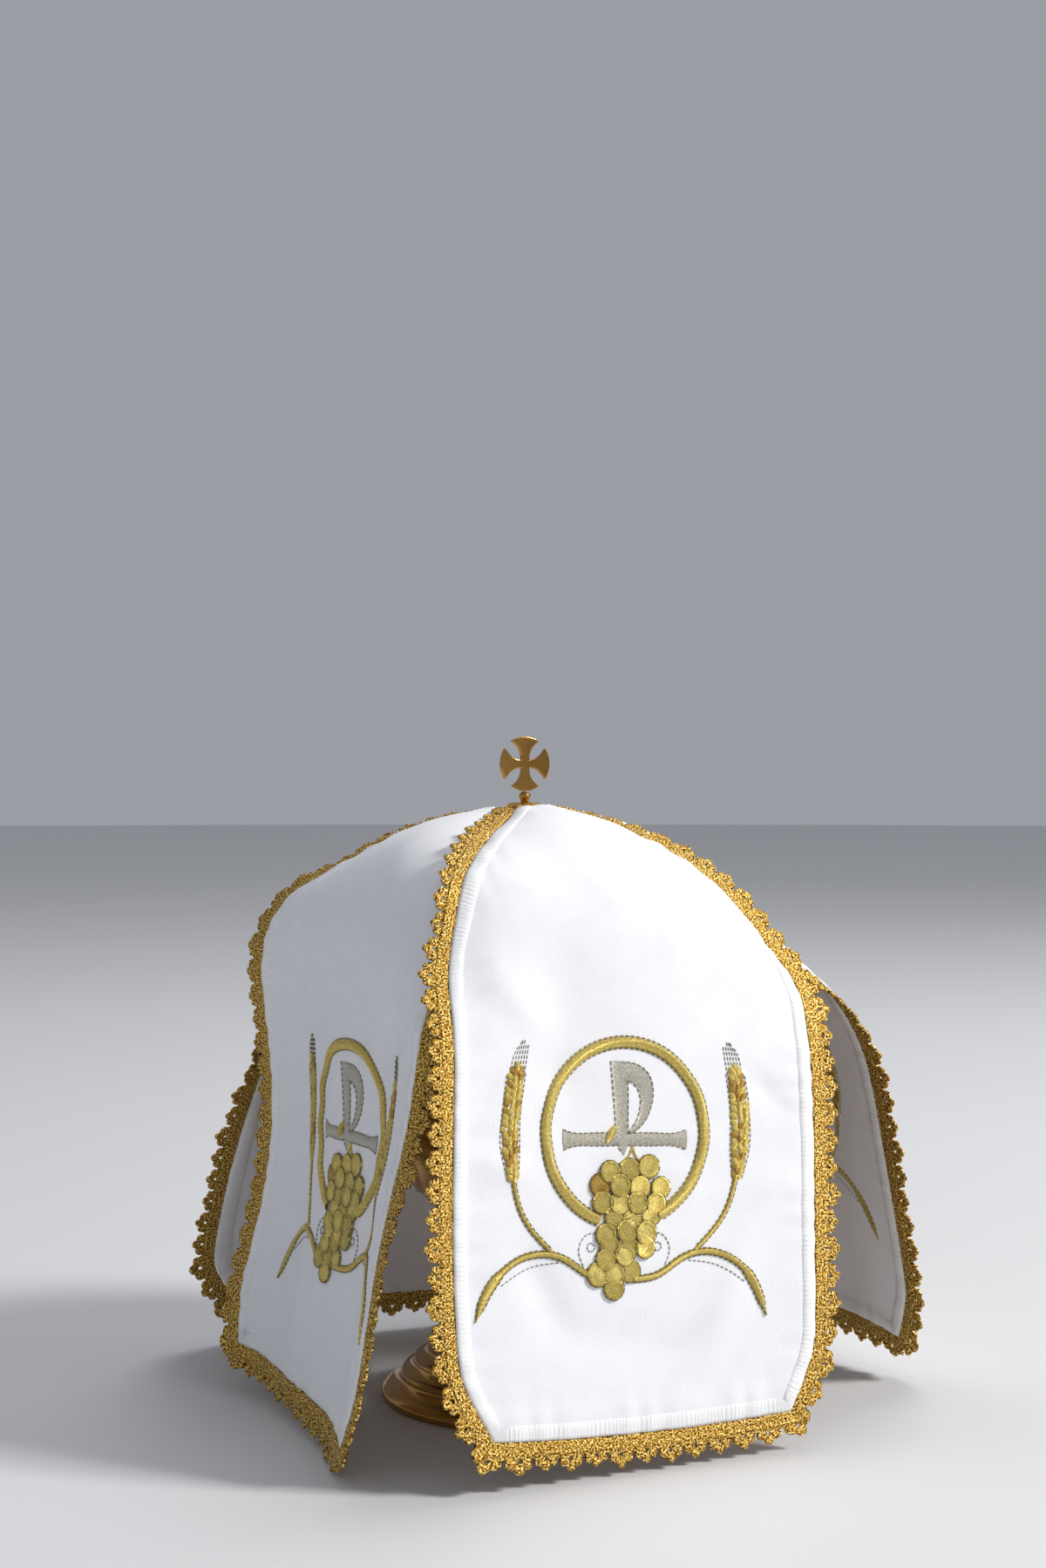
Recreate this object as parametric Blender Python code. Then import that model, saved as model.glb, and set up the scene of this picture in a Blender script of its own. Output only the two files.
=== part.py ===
"""A ciborium veil hung over its ciborium: four white lappets edged with gold crochet lace.

The scene is in metres and the driving sizes below are in millimetres. +Z is up, the foot stands on Z = 0,
and the lappet that faces -Y is the front one.
"""

from math import asin, cos, pi, radians, sin, tan

import bmesh
import bpy
import numpy as np

MM = 0.001

# Flat cut of one lappet: a pointed top, straight sides and a hem with cut corners
PANEL_WIDTH = 168.0
WEDGE_EDGE = 130.0
PANEL_LENGTH = 308.0
CORNER_WIDTH = 14.0
CORNER_HEIGHT = 24.0
CORNER_ROUND = 5.0
SHOULDER_ROUND = 9.0
NECK_CUT = 10.0
CLOTH_THICKNESS = 1.2
HALF_WIDTH = PANEL_WIDTH / 2
WEDGE_ANGLE = asin(HALF_WIDTH / WEDGE_EDGE)
SHOULDER = HALF_WIDTH / tan(WEDGE_ANGLE)

# Rounding of the shoulders draws the sides in by this much
SHOULDER_EASE = 0.2

# Lace edging: a dense band with a row of scallops, each a picot between two lobes.
# It stands off the cloth a little more where its edge turns, and is shallower at its ends.
LACE_GAP = 0.8
CORNER_EASE = 7.0
LACE_BAND = 6.8
LACE_THICKNESS = 1.3
SCALLOP_PITCH = 12.0
SCALLOP_REACH = (0.0, 3.2, 5.4, 3.2)
LACE_TAPER = 24.0
LACE_END_DEPTH = 0.75

# Grid of the cloth solids: rows are closer over the lid, down to UPPER_END, and at the cut corners
CLOTH_COLUMNS = 10
UPPER_END = SHOULDER + 40
UPPER_ROWS = 18
LOWER_ROWS = 6
CORNER_ROWS = 5
SMOOTH_UNDER = radians(40)

# How finely the guide curves and the cloth's edge are measured
GUIDE_SAMPLES = 400
SIDE_SAMPLES = 500
HEM_SAMPLES = 121
EDGE_SAMPLES = 1200
NORMAL_STEP = 1.0
EDGE_INSET = 0.001
FAN_SAMPLES = 21

# Guide curves over which each lappet is laid: how far out from the stem, how far across, how high.
# The left, middle and right curve of a lappet are named as seen from outside it.
OUT = 0
DRAPE = {
    "front": {
        "left": [
            (0, 0, 270), (25, -25, 260.5), (51, -51, 248), (64, -64, 236), (71, -71, 220),
            (80, -78, 200), (92, -82, 180), (101, -86, 145), (108, -90, 105), (114, -92, 65),
            (125, -93, 5),
        ],
        "middle": [
            (0, 0, 270), (25, 0, 267), (45, 0, 261), (62, 0, 251), (77, 0, 236), (88, 0, 217),
            (94, -1, 195), (101, -3, 155), (109, -6, 110), (118, -9, 60), (127, -12, 5),
        ],
        "right": [
            (0, 0, 270), (28, 28, 260.5), (46, 46, 249.5), (59, 59, 237), (73, 72, 219),
            (82, 79, 205.5), (90, 86, 192), (101, 86, 170), (111, 82, 130), (119, 77, 91),
            (129, 72, 29), (133, 71, 0),
        ],
    },
    "left": {
        "left": [
            (0, 0, 268), (30.5, -30.5, 261), (52, -52, 249), (67.5, -67.5, 237.5), (82, -82, 226),
            (91, -86, 212), (94, -82, 165), (93, -79, 115), (104, -77, 63), (123, -76, 15),
            (130, -76, 0),
        ],
        "middle": [
            (0, 0, 268), (25, 0, 265.5), (45, 0, 260), (62, 0, 250.5), (76, 0, 236.5), (85, 0, 218),
            (86.5, 0, 195), (86, 0, 155), (90, 0, 105), (101, 0, 55), (116, 0, 0),
        ],
        "right": [
            (0, 0, 268), (25, 25, 257), (50, 50, 244), (62, 62, 232), (71, 69, 217), (80, 75, 200),
            (89, 79, 180), (96, 81, 145), (108, 84, 103), (119, 88, 55), (131, 93, 0),
        ],
    },
    "right": {
        "left": [
            (0, 0, 268), (28, -28, 256.5), (46, -46, 244.5), (59, -58, 231.5), (75, -69, 215.5),
            (91, -75, 202), (108, -77, 191), (125, -76, 174), (135, -75, 158), (144, -75, 127),
            (157, -75, 65), (171, -75, 0),
        ],
        "middle": [
            (0, 0, 268), (30, 0, 265.5), (55, 0, 259), (77, 0, 247.5), (96, 0, 230), (108, 0, 211),
            (117, 0, 188), (127, 0, 155), (138, 0, 110), (149, 0, 60), (161, 0, 0),
        ],
        "right": [
            (0, 0, 268), (28, 28, 259), (47, 47, 248), (62, 62, 235), (78, 75, 219), (90, 80, 205),
            (103, 82, 185), (113, 82, 155), (122, 82, 115), (132, 83, 60), (143, 84, 0),
        ],
    },
    "back": {
        "left": [
            (0, 0, 266.2), (28, -28, 255.5), (46, -46, 244), (60, -60, 231), (74, -72, 215),
            (85, -79, 200), (98, -81, 180), (111, -82, 140), (121, -82, 90), (129, -82, 40),
            (134, -82, 0),
        ],
        "middle": [
            (0, 0, 266.2), (25, 0, 263.5), (45, 0, 257), (62, 0, 247), (77, 0, 233), (88, 0, 214),
            (96, 0, 190), (105, 0, 150), (115, 0, 105), (125, 0, 55), (134, 0, 0),
        ],
        "right": [
            (0, 0, 266.2), (30, 30, 257), (52, 52, 245), (67, 66, 232.5), (79, 75, 219), (87, 79, 205),
            (94, 81, 190), (103, 85, 155), (116, 93, 114), (132, 100, 65), (149, 104, 10),
        ],
    },
}

# How much longer the cloth runs along each guide than it was cut, left, middle and right, as it pulls askew
PULL = {
    "front": (0.965, 1.02, 0.99),
    "left": (1, 1.005, 0.985),
    "right": (1.03, 1.04, 1),
    "back": (0.98, 1, 1),
}

# Directions of each lappet: outwards and across, as (x, y)
FACING = {
    "front": ((0, -1), (1, 0)),
    "left": ((-1, 0), (0, -1)),
    "right": ((1, 0), (0, 1)),
    "back": ((0, 1), (-1, 0)),
}

# Soft folds that run down the cloth: lappet, place across, half-width, height, start and end down its length
FOLDS = [
    ("front", -32, 26, -2.6, 70, 210),
    ("front", 58, 20, 3.0, 30, 150),
    ("left", -8, 24, 3.5, 120, 330),
    ("left", 42, 22, -3.5, 110, 330),
    ("left", -55, 22, -3.0, 90, 330),
    ("right", -30, 24, 3.0, 130, 330),
    ("right", 25, 26, -3.5, 130, 330),
    ("back", 45, 24, 3.5, 120, 330),
    ("back", -20, 28, -3.5, 120, 330),
]
FOLD_RAMP = 45.0
FOLD_SHARPNESS = 1.6

# How far the lace edging leans from its cloth, degrees inwards, at these lengths down from the tip.
# It rises where it lies over the next lappet and tucks in where it lies under one.
LEAN_STATIONS = (0, 50, 90, 140, 220)
LACE_LEAN = {
    "front": {"left": (-32, -24, -15, 0, 0), "right": (-24, -24, -26, -5, 0)},
    "left": {"left": (-24, -22, -15, 0, 0), "right": (-5, 5, 36, 48, 8)},
    "right": {"left": (-5, -5, 5, 0, 0), "right": (-28, -25, -20, 0, 0)},
    "back": {"left": (-5, -5, 0, 25, 0), "right": (-5, 5, 35, 45, 5)},
}
# Where the edging starts along the sloping edge, so that it never meets the edging of the opposite lappet
LACE_START = {"front": 12.0, "left": 21.0, "right": 21.0, "back": 17.0}

# Ciborium, turned outlines from top to bottom: radius, height
LID_PROFILE = [
    (12, 260.7), (20, 256.8), (34, 250), (46, 240.5), (55.5, 228), (61.5, 215), (64, 205.5),
    (68, 203.5), (68, 200.3),
]
BOWL_PROFILE = [
    (67, 200), (67, 196), (65, 193), (65, 150), (62, 122), (54, 99), (40, 85), (24, 79.5), (12, 78.3),
]
FOOT_PROFILE = [
    (9, 78), (9, 74), (15, 71), (17, 67), (15, 63), (9, 60), (10, 49), (15, 40), (24, 32),
    (36, 25.5), (47, 19), (55, 12), (58, 7.5), (62, 6), (65.5, 3.5), (65.5, 0),
]
NECK_PROFILE = [
    (1.2, 275.4), (2.4, 274.6), (2.8, 273.6), (2.4, 272.4), (2.1, 271.6), (2.1, 264),
    (10.5, 264), (10.5, 261),
]
NECK_LACE_PROFILE = [(3, 264.3), (3, 268.8), (4.5, 270.2), (7, 270), (9, 268), (9, 264.3)]
TURNED_STEPS = 32
SMALL_STEPS = 16

# Cross on the lid: four flared arms in a round outline
CROSS_RADIUS = 12.55
CROSS_CENTRE = 288.25
CROSS_THICKNESS = 2.4
CROSS_WAIST = 2.0
CROSS_ARM_ANGLE = radians(35)
CROSS_FLARE_POWER = 2.6
CROSS_FLARE_STEPS = 4
CROSS_RIM_STEPS = 6


def cubic_through(stations, values):
    """A natural cubic spline through values, as a function of the station."""
    x = np.array(stations, float)
    y = np.array(values, float)
    gap = np.diff(x)
    count = len(x)
    system = np.eye(count)
    slope = np.zeros(count)
    for i in range(1, count - 1):
        system[i, i - 1 : i + 2] = gap[i - 1], 2 * (gap[i - 1] + gap[i]), gap[i]
        slope[i] = 6 * ((y[i + 1] - y[i]) / gap[i] - (y[i] - y[i - 1]) / gap[i - 1])
    bend = np.linalg.solve(system, slope)

    def at(t):
        i = np.clip(np.searchsorted(x, t) - 1, 0, count - 2)
        a = (x[i + 1] - t) / gap[i]
        b = (t - x[i]) / gap[i]
        curve = (a**3 - a) * bend[i] + (b**3 - b) * bend[i + 1]
        return a * y[i] + b * y[i + 1] + curve * gap[i] ** 2 / 6

    return at


class Rail:
    """A guide curve, read by the length along it."""

    def __init__(self, points):
        points = np.array(points, float)
        chord = np.concatenate([[0], np.cumsum(np.linalg.norm(np.diff(points, axis=0), axis=1))])
        fine = np.linspace(0, chord[-1], GUIDE_SAMPLES)
        self.points = np.stack([cubic_through(chord, points[:, i])(fine) for i in range(3)], axis=1)
        steps = np.linalg.norm(np.diff(self.points, axis=0), axis=1)
        self.length = np.concatenate([[0], np.cumsum(steps)])

    def at(self, length):
        length = np.asarray(length, float)
        inside = np.stack([np.interp(length, self.length, self.points[:, i]) for i in range(3)], axis=-1)
        end = self.points[-1] - self.points[-2]
        past = np.clip(length - self.length[-1], 0, None)[..., None]
        return inside + past * end / np.linalg.norm(end)


def soft_min(a, b, rounding):
    return (a + b - np.sqrt((a - b) ** 2 + rounding**2)) / 2


def reach(v):
    """Half-width of the cloth at a length v down from its tip, before the corners are cut."""
    return soft_min(np.asarray(v, float) * tan(WEDGE_ANGLE), HALF_WIDTH + SHOULDER_EASE, SHOULDER_ROUND)


EDGE_V = np.linspace(0, PANEL_LENGTH, EDGE_SAMPLES)
EDGE_LENGTH = np.concatenate([[0], np.cumsum(np.hypot(np.diff(reach(EDGE_V)), np.diff(EDGE_V)))])


def cut_reach(v):
    """Half-width at a length v down from the tip, with the corners cut."""
    cut = HALF_WIDTH - CORNER_WIDTH * (np.asarray(v, float) - (PANEL_LENGTH - CORNER_HEIGHT)) / CORNER_HEIGHT
    return soft_min(reach(v), cut, CORNER_ROUND)


def smooth_step(t):
    t = np.clip(t, 0, 1)
    return t * t * (3 - 2 * t)


def fold_height(name, x, v):
    """How far the soft folds lift the cloth of one lappet outwards."""
    lift = np.zeros(np.broadcast(x, v).shape)
    for lappet, centre, half, height, start, end in FOLDS:
        if lappet != name:
            continue
        across = np.exp(-(((x - centre) / half) ** 2) * FOLD_SHARPNESS)
        along = smooth_step((v - start) / FOLD_RAMP) * smooth_step((end - v) / FOLD_RAMP)
        lift = lift + height * across * along
    return lift


class Drape:
    """The hung surface of one lappet, read by its flat cut: x across it and v down from its tip."""

    def __init__(self, name):
        self.name = name
        self.rails = {side: Rail(points) for side, points in DRAPE[name].items()}
        outwards, across = FACING[name]
        self.frame = np.array([[*outwards, 0], [*across, 0], [0, 0, 1]], float)

    def surface(self, x, v):
        x, v = np.broadcast_arrays(np.asarray(x, float), np.asarray(v, float))
        edge = np.interp(v, EDGE_V, EDGE_LENGTH)
        pull = PULL[self.name]
        left = self.rails["left"].at(edge * pull[0])
        middle = self.rails["middle"].at(v * pull[1])
        right = self.rails["right"].at(edge * pull[2])
        side = (x / np.clip(reach(v), 1, None))[..., None]
        place = left * side * (side - 1) / 2 + middle * (1 - side**2) + right * side * (side + 1) / 2
        place[..., OUT] += fold_height(self.name, x, v)
        return place @ self.frame

    def normal(self, x, v):
        """Unit normal on the outer side."""
        across = self.surface(x + NORMAL_STEP, v) - self.surface(x - NORMAL_STEP, v)
        down = self.surface(x, v + NORMAL_STEP) - self.surface(x, v - NORMAL_STEP)
        out = np.cross(down, across)
        return out / np.linalg.norm(out, axis=-1, keepdims=True)


def outline(edge_start):
    """Points of the flat cut's edge, down its left side, along the hem and up its right side, with lengths."""
    fine = np.linspace(edge_start * cos(WEDGE_ANGLE), PANEL_LENGTH, SIDE_SAMPLES)
    side = np.stack([cut_reach(fine), fine], axis=1)
    hem_end = side[-1, 0]
    hem = np.linspace(-hem_end, hem_end, HEM_SAMPLES)[1:-1]
    bottom = np.stack([hem, np.full_like(hem, PANEL_LENGTH)], axis=1)
    points = np.concatenate([side * (-1, 1), bottom, side[::-1]])
    length = np.concatenate([[0], np.cumsum(np.linalg.norm(np.diff(points, axis=0), axis=1))])
    return points, length


# Mesh building
def new_object(name, bm, material, smooth_angle=None):
    """Makes a named object of a bmesh whose points are in millimetres."""
    bmesh.ops.scale(bm, vec=(MM, MM, MM), verts=bm.verts)
    bmesh.ops.recalc_face_normals(bm, faces=bm.faces)
    mesh = bpy.data.meshes.new(name)
    bm.to_mesh(mesh)
    bm.free()
    mesh.materials.append(material)
    if smooth_angle is not None:
        mesh.shade_smooth()
        mesh.set_sharp_from_angle(angle=smooth_angle)
    obj = bpy.data.objects.new(name, mesh)
    bpy.context.scene.collection.objects.link(obj)
    return obj


def sheet_between(outer, inner):
    """A closed bmesh of two grids of points, one each side of a sheet, with a rim round them."""
    rows, columns = outer.shape[:2]
    bm = bmesh.new()
    grids = [[[bm.verts.new(p) for p in row] for row in side] for side in (outer, inner)]
    for grid in grids:
        for i in range(rows - 1):
            for j in range(columns - 1):
                bm.faces.new((grid[i][j], grid[i + 1][j], grid[i + 1][j + 1], grid[i][j + 1]))
    ring = [(i, 0) for i in range(rows)] + [(rows - 1, j) for j in range(1, columns)]
    ring += [(i, columns - 1) for i in range(rows - 2, -1, -1)]
    ring += [(0, j) for j in range(columns - 2, 0, -1)]
    for (a, b), (c, d) in zip(ring, ring[1:] + ring[:1]):
        bm.faces.new((grids[0][a][b], grids[0][c][d], grids[1][c][d], grids[1][a][b]))
    return bm


def cloth_rows():
    """Lengths down from the tip at which the cloth solid has a row of points."""
    corner = PANEL_LENGTH - CORNER_HEIGHT - CORNER_ROUND
    upper = np.linspace(NECK_CUT, UPPER_END, UPPER_ROWS)
    lower = np.linspace(UPPER_END, corner, LOWER_ROWS)[1:]
    return np.concatenate([upper, lower, np.linspace(corner, PANEL_LENGTH, CORNER_ROWS)[1:]])


def lappet(name, material):
    """One lappet of cloth, as a sheet of even thickness on its draped surface."""
    drape = Drape(name)
    v = cloth_rows()[:, None]
    x = cut_reach(v) * np.linspace(-1, 1, CLOTH_COLUMNS + 1)[None, :]
    middle = drape.surface(x, v)
    half = drape.normal(x, v) * CLOTH_THICKNESS / 2
    return new_object(f"lappet_{name}", sheet_between(middle + half, middle - half), material, SMOOTH_UNDER)


def lace_lean(name, points):
    """Lean of the edging at points of the flat cut, in radians: as listed for the sides, none at the hem."""
    left = np.interp(points[:, 1], LEAN_STATIONS, LACE_LEAN[name]["left"])
    right = np.interp(points[:, 1], LEAN_STATIONS, LACE_LEAN[name]["right"])
    side = np.where(points[:, 0] < 0, left, right)
    return np.radians(side * smooth_step((PANEL_LENGTH - CORNER_HEIGHT - points[:, 1]) / CORNER_HEIGHT))


def edge_frames(drape, start):
    """Along the cloth's edge: places, the directions in which the edging stands, its normals, and lengths."""
    points, length = outline(start)
    inset = points * (1 - EDGE_INSET, 1)
    place = drape.surface(points[:, 0], points[:, 1])
    normal = drape.normal(inset[:, 0], inset[:, 1])
    along = np.gradient(place, axis=0)
    out = np.cross(along, normal)
    out /= np.linalg.norm(out, axis=1, keepdims=True)
    lean = lace_lean(drape.name, points)[:, None]
    leaning_out = out * np.cos(lean) - normal * np.sin(lean)
    leaning_normal = normal * np.cos(lean) + out * np.sin(lean)
    return place, smoothed(leaning_out), smoothed(leaning_normal), length


def smoothed(values):
    """A running mean of unit vectors, which keeps the fan at each corner even."""
    half = FAN_SAMPLES // 2
    padded = np.concatenate([values[:1].repeat(half, 0), values, values[-1:].repeat(half, 0)])
    kernel = np.ones(FAN_SAMPLES) / FAN_SAMPLES
    mean = np.stack([np.convolve(padded[:, i], kernel, "valid") for i in range(3)], axis=1)
    return mean / np.linalg.norm(mean, axis=1, keepdims=True)


def read_at(stations, length, values):
    """Rows of values, known at lengths along the edge, read at other lengths."""
    return np.stack([np.interp(stations, length, values[:, i]) for i in range(3)], axis=1)


def scalloped_strip(inner, outer, half):
    """A closed bmesh of the edging, with every second point of its inner edge and all of its outer edge."""
    bm = bmesh.new()
    sides = []
    for sign in (1, -1):
        inner_row = [bm.verts.new(p + sign * h) for p, h in zip(inner[::2], half[::2])]
        outer_row = [bm.verts.new(p + sign * h) for p, h in zip(outer, half)]
        sides.append((inner_row, outer_row))
        for k in range(len(inner_row) - 1):
            bm.faces.new([inner_row[k], *outer_row[2 * k : 2 * k + 3], inner_row[k + 1]])
    (inner_top, outer_top), (inner_low, outer_low) = sides
    rim_top = inner_top + outer_top[::-1]
    rim_low = inner_low + outer_low[::-1]
    count = len(rim_top)
    for k in range(count):
        j = (k + 1) % count
        bm.faces.new((rim_top[k], rim_top[j], rim_low[j], rim_low[k]))
    return bm


def lace(name, material):
    """The scalloped edging round one lappet, a strip just off the edge of its cloth."""
    place, out, normal, length = edge_frames(Drape(name), LACE_START[name])
    count = round(length[-1] / SCALLOP_PITCH)
    steps = len(SCALLOP_REACH)
    stations = np.linspace(0, length[-1], count * steps + 1)
    from_end = np.minimum(stations, length[-1] - stations)
    taper = LACE_END_DEPTH + (1 - LACE_END_DEPTH) * smooth_step(from_end / LACE_TAPER)
    scallop = np.array([SCALLOP_REACH[i % steps] for i in range(len(stations))])
    base, outwards, lift = (read_at(stations, length, values) for values in (place, out, normal))
    turn = 1 - np.sum(outwards[steps:] * outwards[:-steps], axis=1)
    gap = LACE_GAP + CORNER_EASE * np.pad(turn, steps // 2)
    inner = base + outwards * gap[:, None]
    outer = base + outwards * (gap + (LACE_BAND + scallop) * taper)[:, None]
    half = lift * LACE_THICKNESS / 2
    return new_object(f"lace_{name}", scalloped_strip(inner, outer, half), material)


def turned(name, profile, material, steps=TURNED_STEPS):
    """A turned piece: its outline, closed to the axis, run round by a Screw modifier."""
    outline_points = list(profile)
    if outline_points[0][0] > 0:
        outline_points.insert(0, (0, outline_points[0][1]))
    outline_points.append((0, outline_points[-1][1]))
    mesh = bpy.data.meshes.new(name)
    verts = [(r * MM, 0, z * MM) for r, z in outline_points]
    mesh.from_pydata(verts, [(i, i + 1) for i in range(len(verts) - 1)], [])
    mesh.materials.append(material)
    obj = bpy.data.objects.new(name, mesh)
    bpy.context.scene.collection.objects.link(obj)
    screw = obj.modifiers.new("turn", "SCREW")
    screw.steps = screw.render_steps = steps
    screw.use_merge_vertices = True
    screw.merge_threshold = 1e-5
    screw.use_smooth_shade = True
    return obj


def neck_lace(material):
    """The gathered ring of lace round the finial's neck, turned as a closed ring."""
    bm = bmesh.new()
    count = len(NECK_LACE_PROFILE)
    rings = []
    for k in range(SMALL_STEPS):
        angle = 2 * pi * k / SMALL_STEPS
        rings.append([bm.verts.new((r * cos(angle), r * sin(angle), z)) for r, z in NECK_LACE_PROFILE])
    for a, b in zip(rings, rings[1:] + rings[:1]):
        for i in range(count):
            j = (i + 1) % count
            bm.faces.new((a[i], b[i], b[j], a[j]))
    return new_object("lace_neck", bm, material)


def cross_outline():
    """Outline of the cross: four arms that flare in a curve from a narrow waist to the round rim."""
    points = []
    for arm in range(4):
        turn = pi / 2 * arm
        tip_x = CROSS_RADIUS * cos(CROSS_ARM_ANGLE)
        tip_y = CROSS_RADIUS * sin(CROSS_ARM_ANGLE)
        flare = []
        for k in range(1, CROSS_FLARE_STEPS + 1):
            t = k / CROSS_FLARE_STEPS
            widening = t**CROSS_FLARE_POWER
            x = CROSS_WAIST + (tip_x - CROSS_WAIST) * t
            flare.append((x, CROSS_WAIST + (tip_y - CROSS_WAIST) * widening))
        angles = [CROSS_ARM_ANGLE * (1 - 2 * k / CROSS_RIM_STEPS) for k in range(1, CROSS_RIM_STEPS)]
        rim = [(CROSS_RADIUS * cos(a), CROSS_RADIUS * sin(a)) for a in angles]
        half = [(CROSS_WAIST, CROSS_WAIST)] + flare + rim + [(x, -y) for x, y in reversed(flare)]
        points += [(x * cos(turn) + y * sin(turn), y * cos(turn) - x * sin(turn)) for x, y in half]
    return points


def cross(material):
    """The flat cross, its outline given a thickness."""
    bm = bmesh.new()
    y = CROSS_THICKNESS / 2
    front = [bm.verts.new((a, -y, CROSS_CENTRE + b)) for a, b in cross_outline()]
    face = bm.faces.new(front)
    grown = bmesh.ops.extrude_face_region(bm, geom=[face])
    moved = [v for v in grown["geom"] if isinstance(v, bmesh.types.BMVert)]
    bmesh.ops.translate(bm, vec=(0, CROSS_THICKNESS, 0), verts=moved)
    return new_object("ciborium_cross", bm, material, radians(30))


def principled(name, colour, roughness, metallic):
    """A material with these three values, and the same colour in the viewport."""
    material = bpy.data.materials.new(name)
    material.use_nodes = True
    shader = material.node_tree.nodes["Principled BSDF"]
    shader.inputs["Base Color"].default_value = (*colour, 1)
    shader.inputs["Roughness"].default_value = roughness
    shader.inputs["Metallic"].default_value = metallic
    material.diffuse_color = (*colour, 1)
    return material


def clear_scene():
    for obj in list(bpy.data.objects):
        bpy.data.objects.remove(obj, do_unlink=True)


def main():
    clear_scene()
    cloth = principled("white_cloth", (0.86, 0.87, 0.92), 0.75, 0)
    gold_lace = principled("gold_lace", (0.78, 0.52, 0.16), 0.42, 0.7)
    gilt = principled("gilt_brass", (0.72, 0.50, 0.20), 0.22, 1)
    for name in DRAPE:
        lappet(name, cloth)
        lace(name, gold_lace)
    neck_lace(gold_lace)
    cross(gilt)
    turned("ciborium_neck", NECK_PROFILE, gilt, SMALL_STEPS)
    turned("ciborium_lid", LID_PROFILE, gilt)
    turned("ciborium_bowl", BOWL_PROFILE, gilt)
    turned("ciborium_foot", FOOT_PROFILE, gilt)


main()
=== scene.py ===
"""Looks of a white ciborium veil, edged with gold crochet lace, over its gilt ciborium.

Cloth is laid out in millimetres on each lappet's flat cut, x across and v down from its tip, and hung
on the same guide curves as the solids. The script's objects are in metres.
"""

from math import asin, atan2, cos, hypot, pi, radians, sin, tan

import bmesh
import bpy
import numpy as np
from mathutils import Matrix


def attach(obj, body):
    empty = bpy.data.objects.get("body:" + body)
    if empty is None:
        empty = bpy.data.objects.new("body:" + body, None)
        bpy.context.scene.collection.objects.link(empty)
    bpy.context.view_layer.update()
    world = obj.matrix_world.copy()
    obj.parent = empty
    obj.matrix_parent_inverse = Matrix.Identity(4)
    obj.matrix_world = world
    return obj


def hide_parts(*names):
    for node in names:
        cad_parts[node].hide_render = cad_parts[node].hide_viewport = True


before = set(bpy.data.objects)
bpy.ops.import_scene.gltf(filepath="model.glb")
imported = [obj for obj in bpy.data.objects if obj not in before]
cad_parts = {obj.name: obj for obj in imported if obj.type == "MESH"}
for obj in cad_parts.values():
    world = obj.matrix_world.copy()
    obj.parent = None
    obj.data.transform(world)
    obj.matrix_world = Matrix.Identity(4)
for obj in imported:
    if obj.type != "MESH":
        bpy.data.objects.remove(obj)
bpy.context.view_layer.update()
MM = 0.001

# Flat cut of one lappet
PANEL_WIDTH = 168.0
WEDGE_EDGE = 130.0
PANEL_LENGTH = 308.0
CORNER_WIDTH = 14.0
CORNER_HEIGHT = 24.0
CORNER_ROUND = 5.0
SHOULDER_ROUND = 9.0
SHOULDER_EASE = 0.2
NECK_CUT = 10.0
HALF_WIDTH = PANEL_WIDTH / 2
WEDGE_ANGLE = asin(HALF_WIDTH / WEDGE_EDGE)

# How finely the guide curves and the cloth's edge are measured, and how widely directions are averaged
GUIDE_SAMPLES = 400
SIDE_SAMPLES = 500
HEM_SAMPLES = 121
EDGE_SAMPLES = 1200
NORMAL_STEP = 1.0
EDGE_INSET = 0.001
FAN_SAMPLES = 21
TURN_LENGTH = 13.0

# Cloth, and the satin-stitch border: its ridges, and half its section as distance in and height
CLOTH_HALF = 0.5
CLOTH_ROWS = 124
CLOTH_COLUMNS = 72
SATIN_WIDTH = 6.3
SATIN_STEP = 0.55
SATIN_RIDGE = 1.75
SATIN_DRIFT, SATIN_DRIFT_RATE = 0.35, 0.31
SATIN_UNEVENNESS = 0.02
SATIN_VALLEY = 0.30
SATIN_ROUNDING = 0.8
SATIN_MEAN = 0.7
SATIN_WANDER = 0.25
SATIN_INNER = 5.0
SATIN_SECTION = ((6.5, 0.30), (5.9, 0.98), (3.6, 1.25), (1.3, 1.15), (0.0, 0.50))

# Crochet lace: a dense band, a corded line, then scallops of two lobes and a picot
LACE_GAP = 0.2
SCALLOP_PITCH = 11.5
BAND_DEPTH = 5.2
NOTCH_DEPTH = 6.6
LOBE_CENTRE = (3.0, 8.5)
LOBE_RADIUS = 2.1
LOBE_ARC = (208, 52)
PICOT_CENTRE = (0.0, 10.7)
PICOT_RADIUS = 1.85
PICOT_ARC = (200, -20)
ARC_POINTS = 7
BAND_ROWS = 7
FAN_ROWS = 10
FAN_GATHER = 0.94
LACE_HALF = 0.62
BAND_SWELL = [0.55, 1.05, 0.75, 1.1, 0.75, 1.05, 1.35]
FAN_SWELL = 0.75
KNOB_HALF = 1.15
KNOB_SPREAD = 1.45
RIM_HALF = 0.25
RIM_CORD_HALF = 0.7
LACE_END_DEPTH = 0.75
LACE_TAPER = 24.0

# Unevenness of the lace: along it, across it, in thickness, off its plane, and in each scallop's depth
LACE_SEED = 40
ALONG_SPREAD = 0.09
DEPTH_SPREAD = 0.08
THICK_SPREAD = 0.12
LIFT_SPREAD = 0.05
SCALLOP_SPREAD = 0.05
PEBBLE_LOW = 0.80
PEBBLE_STEP = 0.34
THICK_RANGE = (0.12, 1.3)

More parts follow.
